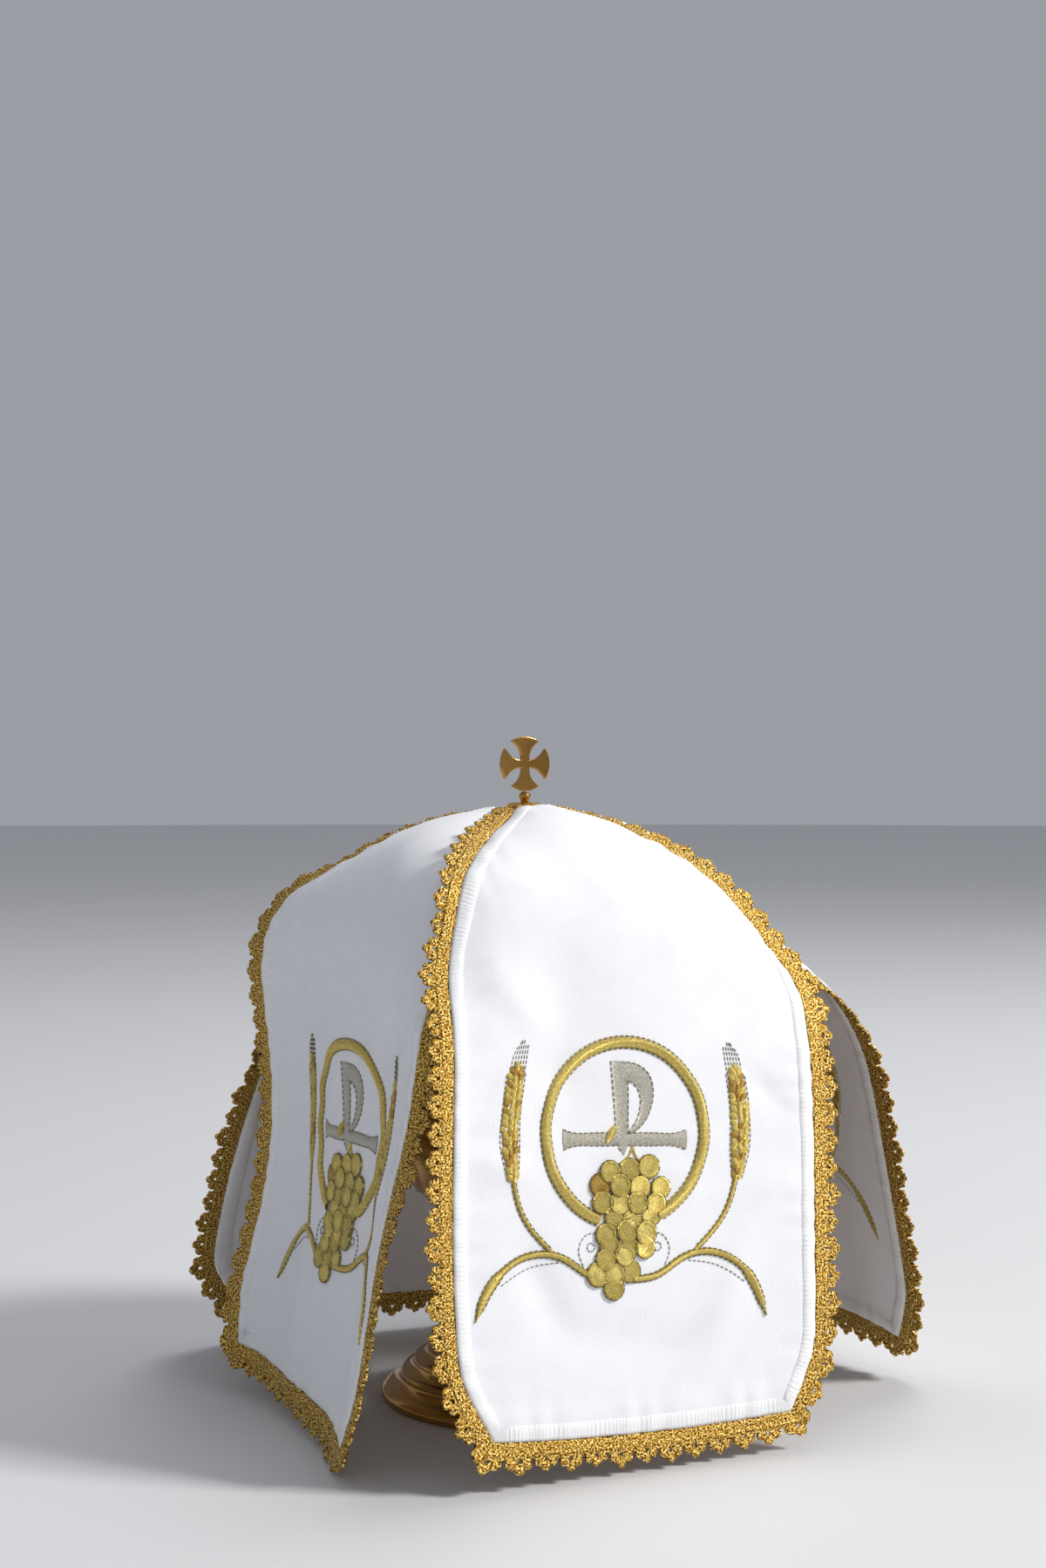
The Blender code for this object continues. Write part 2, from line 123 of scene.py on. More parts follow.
# Guide curves over which each lappet is laid: how far out from the stem, how far across, how high
OUT = 0
DRAPE = {
    "front": {
        "left": [
            (0, 0, 270), (25, -25, 260.5), (51, -51, 248), (64, -64, 236), (71, -71, 220), (80, -78, 200),
            (92, -82, 180), (101, -86, 145), (108, -90, 105), (114, -92, 65), (125, -93, 5),
        ],
        "middle": [
            (0, 0, 270), (25, 0, 267), (45, 0, 261), (62, 0, 251), (77, 0, 236), (88, 0, 217),
            (94, -1, 195), (101, -3, 155), (109, -6, 110), (118, -9, 60), (127, -12, 5),
        ],
        "right": [
            (0, 0, 270), (28, 28, 260.5), (46, 46, 249.5), (59, 59, 237), (73, 72, 219), (82, 79, 205.5),
            (90, 86, 192), (101, 86, 170), (111, 82, 130), (119, 77, 91), (129, 72, 29), (133, 71, 0),
        ],
    },
    "left": {
        "left": [
            (0, 0, 268), (30.5, -30.5, 261), (52, -52, 249), (67.5, -67.5, 237.5), (82, -82, 226),
            (91, -86, 212), (94, -82, 165), (93, -79, 115), (104, -77, 63), (123, -76, 15), (130, -76, 0),
        ],
        "middle": [
            (0, 0, 268), (25, 0, 265.5), (45, 0, 260), (62, 0, 250.5), (76, 0, 236.5), (85, 0, 218),
            (86.5, 0, 195), (86, 0, 155), (90, 0, 105), (101, 0, 55), (116, 0, 0),
        ],
        "right": [
            (0, 0, 268), (25, 25, 257), (50, 50, 244), (62, 62, 232), (71, 69, 217), (80, 75, 200),
            (89, 79, 180), (96, 81, 145), (108, 84, 103), (119, 88, 55), (131, 93, 0),
        ],
    },
    "right": {
        "left": [
            (0, 0, 268), (28, -28, 256.5), (46, -46, 244.5), (59, -58, 231.5), (75, -69, 215.5),
            (91, -75, 202), (108, -77, 191), (125, -76, 174), (135, -75, 158), (144, -75, 127),
            (157, -75, 65), (171, -75, 0),
        ],
        "middle": [
            (0, 0, 268), (30, 0, 265.5), (55, 0, 259), (77, 0, 247.5), (96, 0, 230), (108, 0, 211),
            (117, 0, 188), (127, 0, 155), (138, 0, 110), (149, 0, 60), (161, 0, 0),
        ],
        "right": [
            (0, 0, 268), (28, 28, 259), (47, 47, 248), (62, 62, 235), (78, 75, 219), (90, 80, 205),
            (103, 82, 185), (113, 82, 155), (122, 82, 115), (132, 83, 60), (143, 84, 0),
        ],
    },
    "back": {
        "left": [
            (0, 0, 266.2), (28, -28, 255.5), (46, -46, 244), (60, -60, 231), (74, -72, 215),
            (85, -79, 200), (98, -81, 180), (111, -82, 140), (121, -82, 90), (129, -82, 40),
            (134, -82, 0),
        ],
        "middle": [
            (0, 0, 266.2), (25, 0, 263.5), (45, 0, 257), (62, 0, 247), (77, 0, 233), (88, 0, 214),
            (96, 0, 190), (105, 0, 150), (115, 0, 105), (125, 0, 55), (134, 0, 0),
        ],
        "right": [
            (0, 0, 266.2), (30, 30, 257), (52, 52, 245), (67, 66, 232.5), (79, 75, 219), (87, 79, 205),
            (94, 81, 190), (103, 85, 155), (116, 93, 114), (132, 100, 65), (149, 104, 10),
        ],
    },
}
# Length along each guide curve for one length of cloth: left, middle, right
PULL = {
    "front": (0.965, 1.02, 0.99),
    "left": (1, 1.005, 0.985),
    "right": (1.03, 1.04, 1),
    "back": (0.98, 1, 1),
}
# Directions outwards from the stem and across each lappet
FACING = {
    "front": ((0, -1), (1, 0)),
    "left": ((-1, 0), (0, -1)),
    "right": ((1, 0), (0, 1)),
    "back": ((0, 1), (-1, 0)),
}

# Soft folds down the cloth: lappet, place across, half-width, height, start and end down its length
FOLDS = [
    ("front", -32, 26, -2.6, 70, 210),
    ("front", 58, 20, 3.0, 30, 150),
    ("left", -8, 24, 3.5, 120, 330),
    ("left", 42, 22, -3.5, 110, 330),
    ("left", -55, 22, -3.0, 90, 330),
    ("right", -30, 24, 3.0, 130, 330),
    ("right", 25, 26, -3.5, 130, 330),
    ("back", 45, 24, 3.5, 120, 330),
    ("back", -20, 28, -3.5, 120, 330),
]
FOLD_RAMP = 45.0
FOLD_SHARPNESS = 1.6

# How far the lace leans from its cloth, degrees inwards, at these lengths down from the tip
LEAN_STATIONS = (0, 50, 90, 140, 220)
LACE_LEAN = {
    "front": {"left": (-32, -24, -15, 0, 0), "right": (-24, -24, -26, -5, 0)},
    "left": {"left": (-24, -22, -15, 0, 0), "right": (-5, 5, 36, 48, 8)},
    "right": {"left": (-5, -5, 5, 0, 0), "right": (-28, -25, -20, 0, 0)},
    "back": {"left": (-5, -5, 0, 25, 0), "right": (-5, 5, 35, 45, 5)},
}
# Length down the cloth's edge at which its lace begins
LACE_START = {"front": 12.0, "left": 21.0, "right": 21.0, "back": 17.0}

# Small creases of each lappet: across, down, length, width, height, turn in degrees
CREASES = {
    "front": [
        (-20, 78, 70, 16, -0.9, 72), (36, 100, 60, 12, 0.9, -64), (-52, 132, 42, 9, 0.8, 50),
        (52, 138, 40, 8, -0.8, -48), (-62, 200, 30, 6, 0.7, 20), (64, 215, 34, 7, 0.7, -25),
        (-44, 252, 40, 8, -0.8, 62), (40, 262, 46, 9, 0.8, -58), (0, 275, 70, 10, -0.7, 4),
        (62, 175, 26, 5, -0.6, 40), (-68, 168, 24, 5, -0.6, -36),
    ],
    "left": [
        (10, 70, 60, 14, 0.8, 80), (-40, 120, 60, 10, -0.8, 74), (30, 140, 70, 9, 0.9, 86),
        (58, 200, 60, 8, 0.9, 80), (-60, 210, 60, 9, -0.8, 96), (-20, 262, 60, 9, 0.9, 70),
        (40, 270, 50, 8, -0.7, 60),
    ],
    "right": [
        (0, 90, 60, 12, 0.8, 70), (-50, 150, 60, 10, -0.8, 100), (40, 160, 60, 10, 0.8, 80),
        (-20, 250, 60, 9, 0.7, 70), (55, 240, 50, 8, -0.7, 84),
    ],
    "back": [
        (-10, 80, 60, 12, -0.8, 78), (50, 130, 60, 10, 0.8, 66), (-45, 160, 60, 9, 0.8, 96),
        (10, 260, 60, 9, -0.7, 60),
    ],
}
CREASE_SCALE = 2.0
CREASE_BOW = 0.004

# Puckers along the border and round the ring of stitches: height, reach, rates of their waves
PUCKER_HEIGHT = 0.28
PUCKER_REACH = 9.0
RIPPLE_DOWN = (0.42, 0.11)
RIPPLE_ACROSS = (0.37, 0.13)
RING_PUCKER_HEIGHT = 0.3
RING_PUCKER_REACH = 8.0
RIPPLE_ROUND = (9, 2)

# Where the embroidered motif sits on each lappet: across, down, turn in degrees
MOTIF = {"front": (-4.2, 190, 3.0), "left": (5.5, 195, -5), "right": (0, 189, 0), "back": (0, 189, 0)}
MOTIF_SEED = 11
RING_RADIUS = 36.6
RING_BAND = 4.8
RING_HEIGHT = 1.9
RING_OPENINGS = (radians(19), radians(25))

# How stitches lie: height on the reverse, edges sunk in the cloth, fine width, and ends of one stitch
REVERSE_RELIEF = 0.45
BAND_SINK = 0.15
PATCH_SINK = 0.05
EDGE_CLEAR = 0.2
FINE = 0.5
STITCH_STATIONS = np.array([0, 0.2, 0.8, 1])
STITCH_TAPER = np.array([0.4, 1, 1, 0.4])
BLOB_RINGS = np.array([1.0, 0.9, 0.74, 0.4, 0.03])
BLOB_LIFTS = np.array([-0.1, 0.55, 0.62, 0.95, 1.0])
BLOB_RIM = np.array([0, 1, 0, 0, 0])

# Letter: heights of its bar, bowl and stem, and which points of the stem's right line show
BAR_HEIGHT = 0.45
BOWL_HEIGHT = 0.48
STEM_HEIGHT = 0.60
STEM_SHOWN = slice(12, 50)

# Bunch of grapes from its lowest row: berries, middle across, place down, spacing
BUNCH_SEED = 7
BUNCH_ROWS = [
    (1, -5.0, 61.4, 0.0), (3, -4.9, 56.0, 7.2), (2, -4.2, 50.4, 8.2), (3, 1.4, 45.6, 8.0),
    (3, 0.6, 40.0, 8.8), (3, 3.6, 34.4, 8.2), (4, 1.8, 28.0, 8.3), (4, 2.2, 21.8, 9.3), (3, 2.0, 15.4, 8.8),
]
BROWN_BERRY = (21.8, 0)
BERRY_RADIUS = 4.9
BERRY_HEIGHT = 1.5
BERRY_SPREAD = (0.35, 0.8, 0.04, 0.15)
BERRY_RINGS = (0.8, 0.98)
STALKS = [(3.4, 5.6), (1.6, 9.4), (-2.4, 12.4)], [(3.4, 5.6), (4.6, 9.0), (7.4, 12.2)]

# Vine stems, leaves, tendrils and ears, drawn for the right side
VINE = [(4, 58.2), (16, 56.4), (26, 50.6), (36, 47.8), (48.6, 50.2), (58.4, 57.6), (67.4, 74.4)]
UNDERLINE = [(30, 51.2), (43, 53.2), (56, 60.2)]
EAR_STEM = [(52, 17), (47, 32), (33, 47.2)]
EAR_SPINE = [(52.4, 17), (53.6, 4), (53.2, -10), (51.0, -26)]
EAR_ROWS = 17
GRAIN_SPACING = 2.7
GRAIN_SIZE = (2.2, 1.45)
GRAIN_SLANT = 26
BROWN_SHARE = 0.3
AWN_END = (47.6, -39.0)
AWNS = (-2, -1.2, -0.4, 0.4, 1.2, 2)
TENDRIL = [(11, 40), (17.5, 40.6), (21, 46), (18.6, 53)]
CURL = (15.4, 45.4, 1.7)

# Lace at the neck: its section as radius and height, its ruffles and unevenness
FRILL_SEED = 3
FRILL_SECTION = [
    (3.0, 264.6), (3.0, 267.2), (3.4, 269.2), (4.6, 270.3), (6.2, 270.4), (7.8, 269.4), (9.2, 267.6),
    (9.0, 264.8),
]
FRILL_STEPS = 96
FRILL_RUFFLES = 12
FRILL_RUFFLE = 0.7
FRILL_SPREAD = 0.14
FRILL_INNER = (2.9, 3.2)

# Ciborium, turned outlines from top to bottom: radius, height
LID_PROFILE = [
    (0.0, 261.0), (12, 260.7), (20, 256.8), (34, 250), (46, 240.5), (55.5, 228), (61.5, 215),
    (63.4, 206.8), (65.2, 205.6), (67.4, 204.6), (68, 203.0), (67.6, 201.0), (66.4, 200.3), (0.0, 200.3),
]
BOWL_PROFILE = [
    (0.0, 200), (66.4, 200), (67, 199.3), (67, 197), (65.6, 195.2), (65, 193), (65, 150), (62, 122),
    (54, 99), (40, 85), (24, 79.5), (12, 78.3), (0.0, 78.3),
]
FOOT_PROFILE = [
    (0.0, 78), (8.6, 78), (9, 77.4), (9, 74.6), (12.6, 73.4), (12.8, 72.2), (15, 71), (17, 67), (15, 63),
    (12.8, 61.8), (12.6, 60.8), (9, 60), (8.8, 55), (10, 49), (15, 40), (24, 32), (28.6, 29.6),
    (29.0, 30.4), (30.2, 30.4), (31.3, 29.4), (31.2, 28.2), (36, 25.7), (36.4, 26.5), (37.6, 26.3),
    (38.5, 25.2), (38.2, 24.3), (42.6, 21.9), (43.0, 22.7), (44.2, 22.4), (45.1, 21.2), (44.8, 20.2),
    (48.6, 17.3), (49.2, 18.0), (50.3, 17.5), (50.9, 16.2), (50.4, 15.3), (54.6, 12.0), (55.4, 12.5),
    (56.5, 11.4), (56.7, 10.2), (56.2, 9.5), (58, 7.8), (58.6, 6.8), (61.6, 6.2), (62.6, 5.6),
    (64.8, 4.2), (65.5, 3), (65.5, 0.6), (65.1, 0.0), (0.0, 0.0),
]
NECK_PROFILE = [
    (0.0, 275.5), (1.2, 275.4), (2.3, 274.8), (2.8, 273.6), (2.3, 272.4), (1.9, 271.6), (1.9, 264.6),
    (10.3, 264), (10.5, 263.4), (10.5, 261.4), (10.2, 261), (0.0, 261),
]
TURNED_STEPS = 128
CROSS_RADIUS = 12.55
CROSS_CENTRE = 288.25
CROSS_HALF_THICKNESS = 1.2
CROSS_WAIST = 2.0
CROSS_ARM_ANGLE = radians(35)
CROSS_FLARE_POWER = 2.6
CROSS_FLARE_STEPS = 14
CROSS_RIM_STEPS = 16
CROSS_BEVEL = 0.5

# Camera at the photograph's angle
CAMERA_TURN = radians(-28)
CAMERA_DISTANCE = 1.0
CAMERA_HEIGHT = 0.279
CAMERA_SIDE = -0.0008
CAMERA_LENS = 50.0

# Studio, and its lights: name, place, size, power in watts, colour
FLOOR_RADIUS = 14.0
FLOOR_DROP = 0.0002
SKY_COLOUR = (0.78, 0.81, 0.88, 1)
SKY_STRENGTH = 0.42
AIM_HEIGHT = 0.13
LIGHTS = [
    ("key", (2.1, -1.95, 2.2), 0.7, 112.0, (1.0, 0.985, 0.96)),
    ("top", (1.1, 0.7, 3.0), 1.3, 24.0, (1.0, 1.0, 1.0)),
    ("fill", (-3.2, -1.3, 1.3), 2.2, 3.0, (0.80, 0.87, 1.0)),
]

# Embroidery threads: name, dark tone (painted shade), middle tone, bright tone (painted glints), metallic,
# rate of strands, depth in metres
GOLD, SILVER, STITCH, BROWN = range(4)
THREADS = [
    ("gold_thread", (0.34, 0.18, 0.012), (0.84, 0.58, 0.09), (1.0, 0.88, 0.32), 0.80, 0.75, 0.0002),
    ("silver_thread", (0.26, 0.23, 0.16), (0.72, 0.68, 0.57), (0.95, 0.92, 0.82), 0.55, 0.8, 0.0003),
    ("dark_thread", (0.07, 0.06, 0.03), (0.20, 0.17, 0.09), (0.42, 0.36, 0.2), 0.4, 0.8, 0.0001),
    ("brown_thread", (0.18, 0.08, 0.01), (0.52, 0.29, 0.04), (0.86, 0.58, 0.16), 0.8, 0.75, 0.00028),
]


def cubic_through(stations, values):
    """A natural cubic spline through values, as a function of the station."""
    x = np.array(stations, float)
    y = np.array(values, float)
    gap = np.diff(x)
    count = len(x)
    system = np.eye(count)
    slope = np.zeros(count)
    for i in range(1, count - 1):
        system[i, i - 1 : i + 2] = gap[i - 1], 2 * (gap[i - 1] + gap[i]), gap[i]
        slope[i] = 6 * ((y[i + 1] - y[i]) / gap[i] - (y[i] - y[i - 1]) / gap[i - 1])
    bend = np.linalg.solve(system, slope)

    def at(t):
        i = np.clip(np.searchsorted(x, t) - 1, 0, count - 2)
        a = (x[i + 1] - t) / gap[i]
        b = (t - x[i]) / gap[i]
        curve = (a**3 - a) * bend[i] + (b**3 - b) * bend[i + 1]
        return a * y[i] + b * y[i + 1] + curve * gap[i] ** 2 / 6

    return at


def lengths(points):
    """Length along a line of points at each of them."""
    return np.concatenate([[0], np.cumsum(np.linalg.norm(np.diff(points, axis=0), axis=1))])


def smooth_line(points, count):
    """A line of this many even points on a smooth curve through a few points."""
    points = np.array(points, float)
    chord = lengths(points)
    fine = np.linspace(0, chord[-1], GUIDE_SAMPLES)
    line = np.stack([cubic_through(chord, points[:, i])(fine) for i in range(points.shape[1])], axis=1)
    return read_at(np.linspace(0, lengths(line)[-1], count), lengths(line), line)


def read_at(stations, length, values):
    """Rows of values, known at lengths along a line, read at other lengths."""
    columns = [np.interp(stations, length, values[:, i]) for i in range(values.shape[1])]
    return np.stack(columns, axis=-1)


class Rail:
    """A guide curve, read by the length along it."""

    def __init__(self, points):
        self.points = smooth_line(points, GUIDE_SAMPLES)
        self.length = lengths(self.points)

    def at(self, length):
        length = np.asarray(length, float)
        end = self.points[-1] - self.points[-2]
        past = np.clip(length - self.length[-1], 0, None)[..., None]
        return read_at(length, self.length, self.points) + past * end / np.linalg.norm(end)


def soft_min(a, b, rounding):
    return (a + b - np.sqrt((a - b) ** 2 + rounding**2)) / 2


def reach(v):
    """Half-width of the cloth at a length v down from its tip, before the corners are cut."""
    return soft_min(np.asarray(v, float) * tan(WEDGE_ANGLE), HALF_WIDTH + SHOULDER_EASE, SHOULDER_ROUND)


EDGE_V = np.linspace(0, PANEL_LENGTH, EDGE_SAMPLES)
EDGE_LENGTH = lengths(np.stack([reach(EDGE_V), EDGE_V], axis=1))


def cut_reach(v):
    """Half-width at a length v down from the tip, with the corners cut."""
    corner = (np.asarray(v, float) - (PANEL_LENGTH - CORNER_HEIGHT)) / CORNER_HEIGHT
    return soft_min(reach(v), HALF_WIDTH - CORNER_WIDTH * corner, CORNER_ROUND)


def smooth_step(t):
    t = np.clip(t, 0, 1)
    return t * t * (3 - 2 * t)


def bell(distance, spread):
    return np.exp(-((distance / spread) ** 2))


def ripple(t, rate, drift):
    """Waves along t, at a rate that drifts."""
    return np.sin(t * rate + np.sin(t * drift) * 2)


def fold_height(name, x, v):
    """How far the soft folds lift the cloth of one lappet outwards."""
    lift = np.zeros(np.broadcast(x, v).shape)
    for lappet_name, centre, half, height, start, end in FOLDS:
        if lappet_name != name:
            continue
        across = np.exp(-(((x - centre) / half) ** 2) * FOLD_SHARPNESS)
        along = smooth_step((v - start) / FOLD_RAMP) * smooth_step((end - v) / FOLD_RAMP)
        lift = lift + height * across * along
    return lift


def crease_height(name, x, v):
    """Small creases, and the puckers that the satin border and the embroidery draw into the cloth."""
    lift = np.zeros(np.broadcast(x, v).shape)
    for across, down, length, width, height, turn in CREASES[name]:
        c, s = cos(radians(turn)), sin(radians(turn))
        along = (x - across) * c + (v - down) * s
        off = (v - down) * c - (x - across) * s + CREASE_BOW * along**2
        lift = lift + CREASE_SCALE * height * np.exp(-((along / length * 2) ** 2) - (off / width) ** 2)
    inside = np.clip(cut_reach(v) - np.abs(x) - SATIN_WIDTH, 0, None)
    inside = np.minimum(inside, np.clip(PANEL_LENGTH - v - SATIN_WIDTH, 0, None))
    wave = ripple(v, *RIPPLE_DOWN) + ripple(x, *RIPPLE_ACROSS)
    lift = lift + PUCKER_HEIGHT * wave * bell(inside, PUCKER_REACH)
    motif_x, motif_v, _ = MOTIF[name]
    from_ring = np.abs(np.hypot(x - motif_x, v - motif_v) - RING_RADIUS)
    angle = np.arctan2(v - motif_v, x - motif_x)
    return lift + RING_PUCKER_HEIGHT * ripple(angle, *RIPPLE_ROUND) * bell(from_ring, RING_PUCKER_REACH)


class Drape:
    """The hung surface of one lappet, read by its flat cut: x across it and v down from its tip."""

    def __init__(self, name):
        self.name = name
        self.rails = {side: Rail(points) for side, points in DRAPE[name].items()}
        outwards, across = FACING[name]
        self.frame = np.array([[*outwards, 0], [*across, 0], [0, 0, 1]], float)

    def surface(self, x, v):
        x, v = np.broadcast_arrays(np.asarray(x, float), np.asarray(v, float))
        edge = np.interp(v, EDGE_V, EDGE_LENGTH)
        pull = PULL[self.name]
        left = self.rails["left"].at(edge * pull[0])
        middle = self.rails["middle"].at(v * pull[1])
        right = self.rails["right"].at(edge * pull[2])
        side = (x / np.clip(reach(v), 1, None))[..., None]
        place = left * side * (side - 1) / 2 + middle * (1 - side**2) + right * side * (side + 1) / 2
        place[..., OUT] += fold_height(self.name, x, v)
        return place @ self.frame

    def normal(self, x, v):
        """Unit normal on the outer side."""
        across = self.surface(x + NORMAL_STEP, v) - self.surface(x - NORMAL_STEP, v)
        down = self.surface(x, v + NORMAL_STEP) - self.surface(x, v - NORMAL_STEP)
        out = np.cross(down, across)
        return out / np.linalg.norm(out, axis=-1, keepdims=True)

    def raised(self, x, v, height):
        """Places at this height off the creased cloth's middle."""
        height = height + crease_height(self.name, x, v)
        return self.surface(x, v) + self.normal(x, v) * height[..., None]


def outline(edge_start):
    """Points of the flat cut's edge, down its left, along the hem and up its right, with lengths."""
    fine = np.linspace(edge_start * cos(WEDGE_ANGLE), PANEL_LENGTH, SIDE_SAMPLES)
    side = np.stack([cut_reach(fine), fine], axis=1)
    hem = np.linspace(-side[-1, 0], side[-1, 0], HEM_SAMPLES)[1:-1]
    bottom = np.stack([hem, np.full_like(hem, PANEL_LENGTH)], axis=1)
    points = np.concatenate([side * (-1, 1), bottom, side[::-1]])
    return points, lengths(points)


def running_mean(values, width):
    """A running mean of unit vectors over an odd number of them, made unit again."""
    half = width // 2
    padded = np.concatenate([values[:1].repeat(half, 0), values, values[-1:].repeat(half, 0)])
    kernel = np.ones(2 * half + 1) / (2 * half + 1)
    mean = np.stack([np.convolve(padded[:, i], kernel, "valid") for i in range(values.shape[1])], axis=1)
    return mean / np.linalg.norm(mean, axis=1, keepdims=True)


def grid_quads(rows, columns):
    """Quads of a grid of points counted row by row."""
    index = np.arange(rows * columns).reshape(rows, columns)
    corners = [index[:-1, :-1], index[1:, :-1], index[1:, 1:], index[:-1, 1:]]
    return np.stack(corners, axis=-1).reshape(-1, 4)


def tube_quads(rows, columns):
    """Quads of a grid whose last column joins its first."""
    start = np.arange(rows - 1) * columns
    seam = np.stack([start + columns - 1, start + 2 * columns - 1, start + columns, start], axis=1)
    return np.concatenate([grid_quads(rows, columns), seam])[:, ::-1]


def placed(name, data):
    """A new object of the scene, from its mesh, light or camera."""
    obj = bpy.data.objects.new(name, data)
    bpy.context.scene.collection.objects.link(obj)
    return obj


class Pile:
    """Points, quads, flat coordinates and material numbers of many small forms, made into one mesh."""

    def __init__(self):
        self.points = []
        self.flat = []
        self.quads = []
        self.slots = []
        self.count = 0

    def add(self, points, flat, quads, slot=0):
        self.points.append(np.asarray(points, float).reshape(-1, 3))
        self.flat.append(np.asarray(flat, float).reshape(-1, 2))
        self.quads.append(np.asarray(quads, np.int64) + self.count)
        self.slots.append(np.full(len(quads), slot))
        self.count += len(self.points[-1])

    def make(self, name, materials):
        """The mesh object, in metres, with its flat coordinates as a UV map in millimetres."""
        points = np.concatenate(self.points) * MM
        flat = np.concatenate(self.flat)
        quads = np.concatenate(self.quads)
        mesh = bpy.data.meshes.new(name)
        mesh.from_pydata(points.tolist(), [], quads.tolist())
        mesh.polygons.foreach_set("material_index", np.concatenate(self.slots).astype(np.int32))
        uv = mesh.uv_layers.new(name="flat")
        uv.data.foreach_set("uv", flat[quads.ravel()].astype(np.float32).ravel())
        for material in materials:
            mesh.materials.append(material)
        mesh.shade_smooth()
        obj = placed(name, mesh)
        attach(obj, "root")
        return obj


def one_form(name, points, flat, quads, material):
    """The mesh object of a single form."""
    pile = Pile()
    pile.add(points, flat, quads)
    return pile.make(name, [material])


def cloth(drape, material):
    """The creased sheet of one lappet."""
    v = np.linspace(NECK_CUT, PANEL_LENGTH, CLOTH_ROWS)[:, None]
    x = cut_reach(v) * np.linspace(-1, 1, CLOTH_COLUMNS)[None, :]
    v = np.broadcast_to(v, x.shape)
    flat = np.stack([x, v], axis=-1)
    sides = [drape.raised(x, v, np.full(x.shape, height)) for height in (CLOTH_HALF, -CLOTH_HALF)]
    face = grid_quads(CLOTH_ROWS, CLOTH_COLUMNS)
    index = np.arange(x.size).reshape(x.shape)
    ring = np.concatenate([index[:, 0], index[-1, 1:], index[-2::-1, -1], index[0, -2:0:-1]])
    following = np.roll(ring, -1)
    rim = np.stack([ring, ring + x.size, following + x.size, following], axis=1)
    quads = np.concatenate([face, face[:, ::-1] + x.size, rim])
    return one_form(f"cloth_{drape.name}", sides, [flat, flat], quads, material)


def satin_border(drape, material):
    """The satin-stitch border that wraps the cloth's edge, with a ridge for each bundle of stitches."""
    random = np.random.default_rng(len(drape.name))
    points, length = outline(NECK_CUT / cos(WEDGE_ANGLE))
    tangent = np.gradient(points, length, axis=0)
    stations = np.linspace(0, length[-1], round(length[-1] / SATIN_STEP))
    edge = read_at(stations, length, points)
    inward = read_at(stations, length, np.stack([tangent[:, 1], -tangent[:, 0]], axis=1))
    inward = running_mean(inward, round(TURN_LENGTH / SATIN_STEP) | 1)
    phase = stations / SATIN_RIDGE + SATIN_DRIFT * np.sin(stations * SATIN_DRIFT_RATE)
    phase += np.cumsum(random.normal(0, SATIN_UNEVENNESS, len(stations)))
    ridge = SATIN_VALLEY + (1 - SATIN_VALLEY) * np.abs(np.sin(pi * phase)) ** SATIN_ROUNDING
    depth, height = np.array([*SATIN_SECTION, *((w, -h) for w, h in SATIN_SECTION[::-1])]).T
    wander = SATIN_WANDER * (ridge[:, None] - SATIN_MEAN) * (depth[None, :] > SATIN_INNER)
    flat = edge[:, None, :] + inward[:, None, :] * (depth[None, :] + wander)[..., None]
    over = np.clip(np.abs(height) - CLOTH_HALF, 0, None)[None, :] * (ridge[:, None] - 1)
    places = drape.raised(flat[..., 0], flat[..., 1], height[None, :] + np.sign(height)[None, :] * over)
    along = np.meshgrid(stations, np.linspace(0, 2 * SATIN_WIDTH, len(depth)), indexing="ij")
    quads = tube_quads(len(stations), len(depth))
    return one_form(f"satin_{drape.name}", places, np.stack(along, axis=-1), quads, material)


def lace_lean(name, points):
    """Lean of the lace at points of the flat cut, in radians: as listed for the sides, none at the hem."""
    left = np.interp(points[:, 1], LEAN_STATIONS, LACE_LEAN[name]["left"])
    right = np.interp(points[:, 1], LEAN_STATIONS, LACE_LEAN[name]["right"])
    side = np.where(points[:, 0] < 0, left, right)
    return np.radians(side * smooth_step((PANEL_LENGTH - CORNER_HEIGHT - points[:, 1]) / CORNER_HEIGHT))


def edge_frames(drape, start):
    """Along the cloth's edge: places, the directions in which the lace stands, its normals, and lengths."""
    points, length = outline(start)
    inset = points * (1 - EDGE_INSET, 1)
    place = drape.surface(points[:, 0], points[:, 1])
    normal = drape.normal(inset[:, 0], inset[:, 1])
    out = np.cross(np.gradient(place, axis=0), normal)
    out /= np.linalg.norm(out, axis=1, keepdims=True)
    lean = lace_lean(drape.name, points)[:, None]
    leaning_out = running_mean(out * np.cos(lean) - normal * np.sin(lean), FAN_SAMPLES)
    leaning_normal = running_mean(normal * np.cos(lean) + out * np.sin(lean), FAN_SAMPLES)
    return place, leaning_out, leaning_normal, length


def scallop_outline():
    """Outer edge of one scallop, from notch to notch: along it and away from the cloth."""
    def arc(centre, radius, start, end):
        angles = np.radians(np.linspace(start, end, ARC_POINTS))
        return [(centre[0] + radius * cos(a), centre[1] + radius * sin(a)) for a in angles]

    first, last = LOBE_ARC
    left = arc((-LOBE_CENTRE[0], LOBE_CENTRE[1]), LOBE_RADIUS, first, last)
    picot = arc(PICOT_CENTRE, PICOT_RADIUS, *PICOT_ARC)
    right = arc(LOBE_CENTRE, LOBE_RADIUS, 180 - last, 180 - first)
    notches = [[(side * SCALLOP_PITCH / 2, NOTCH_DEPTH)] for side in (-1, 1)]
    return np.array(notches[0] + left + picot + right + notches[1])


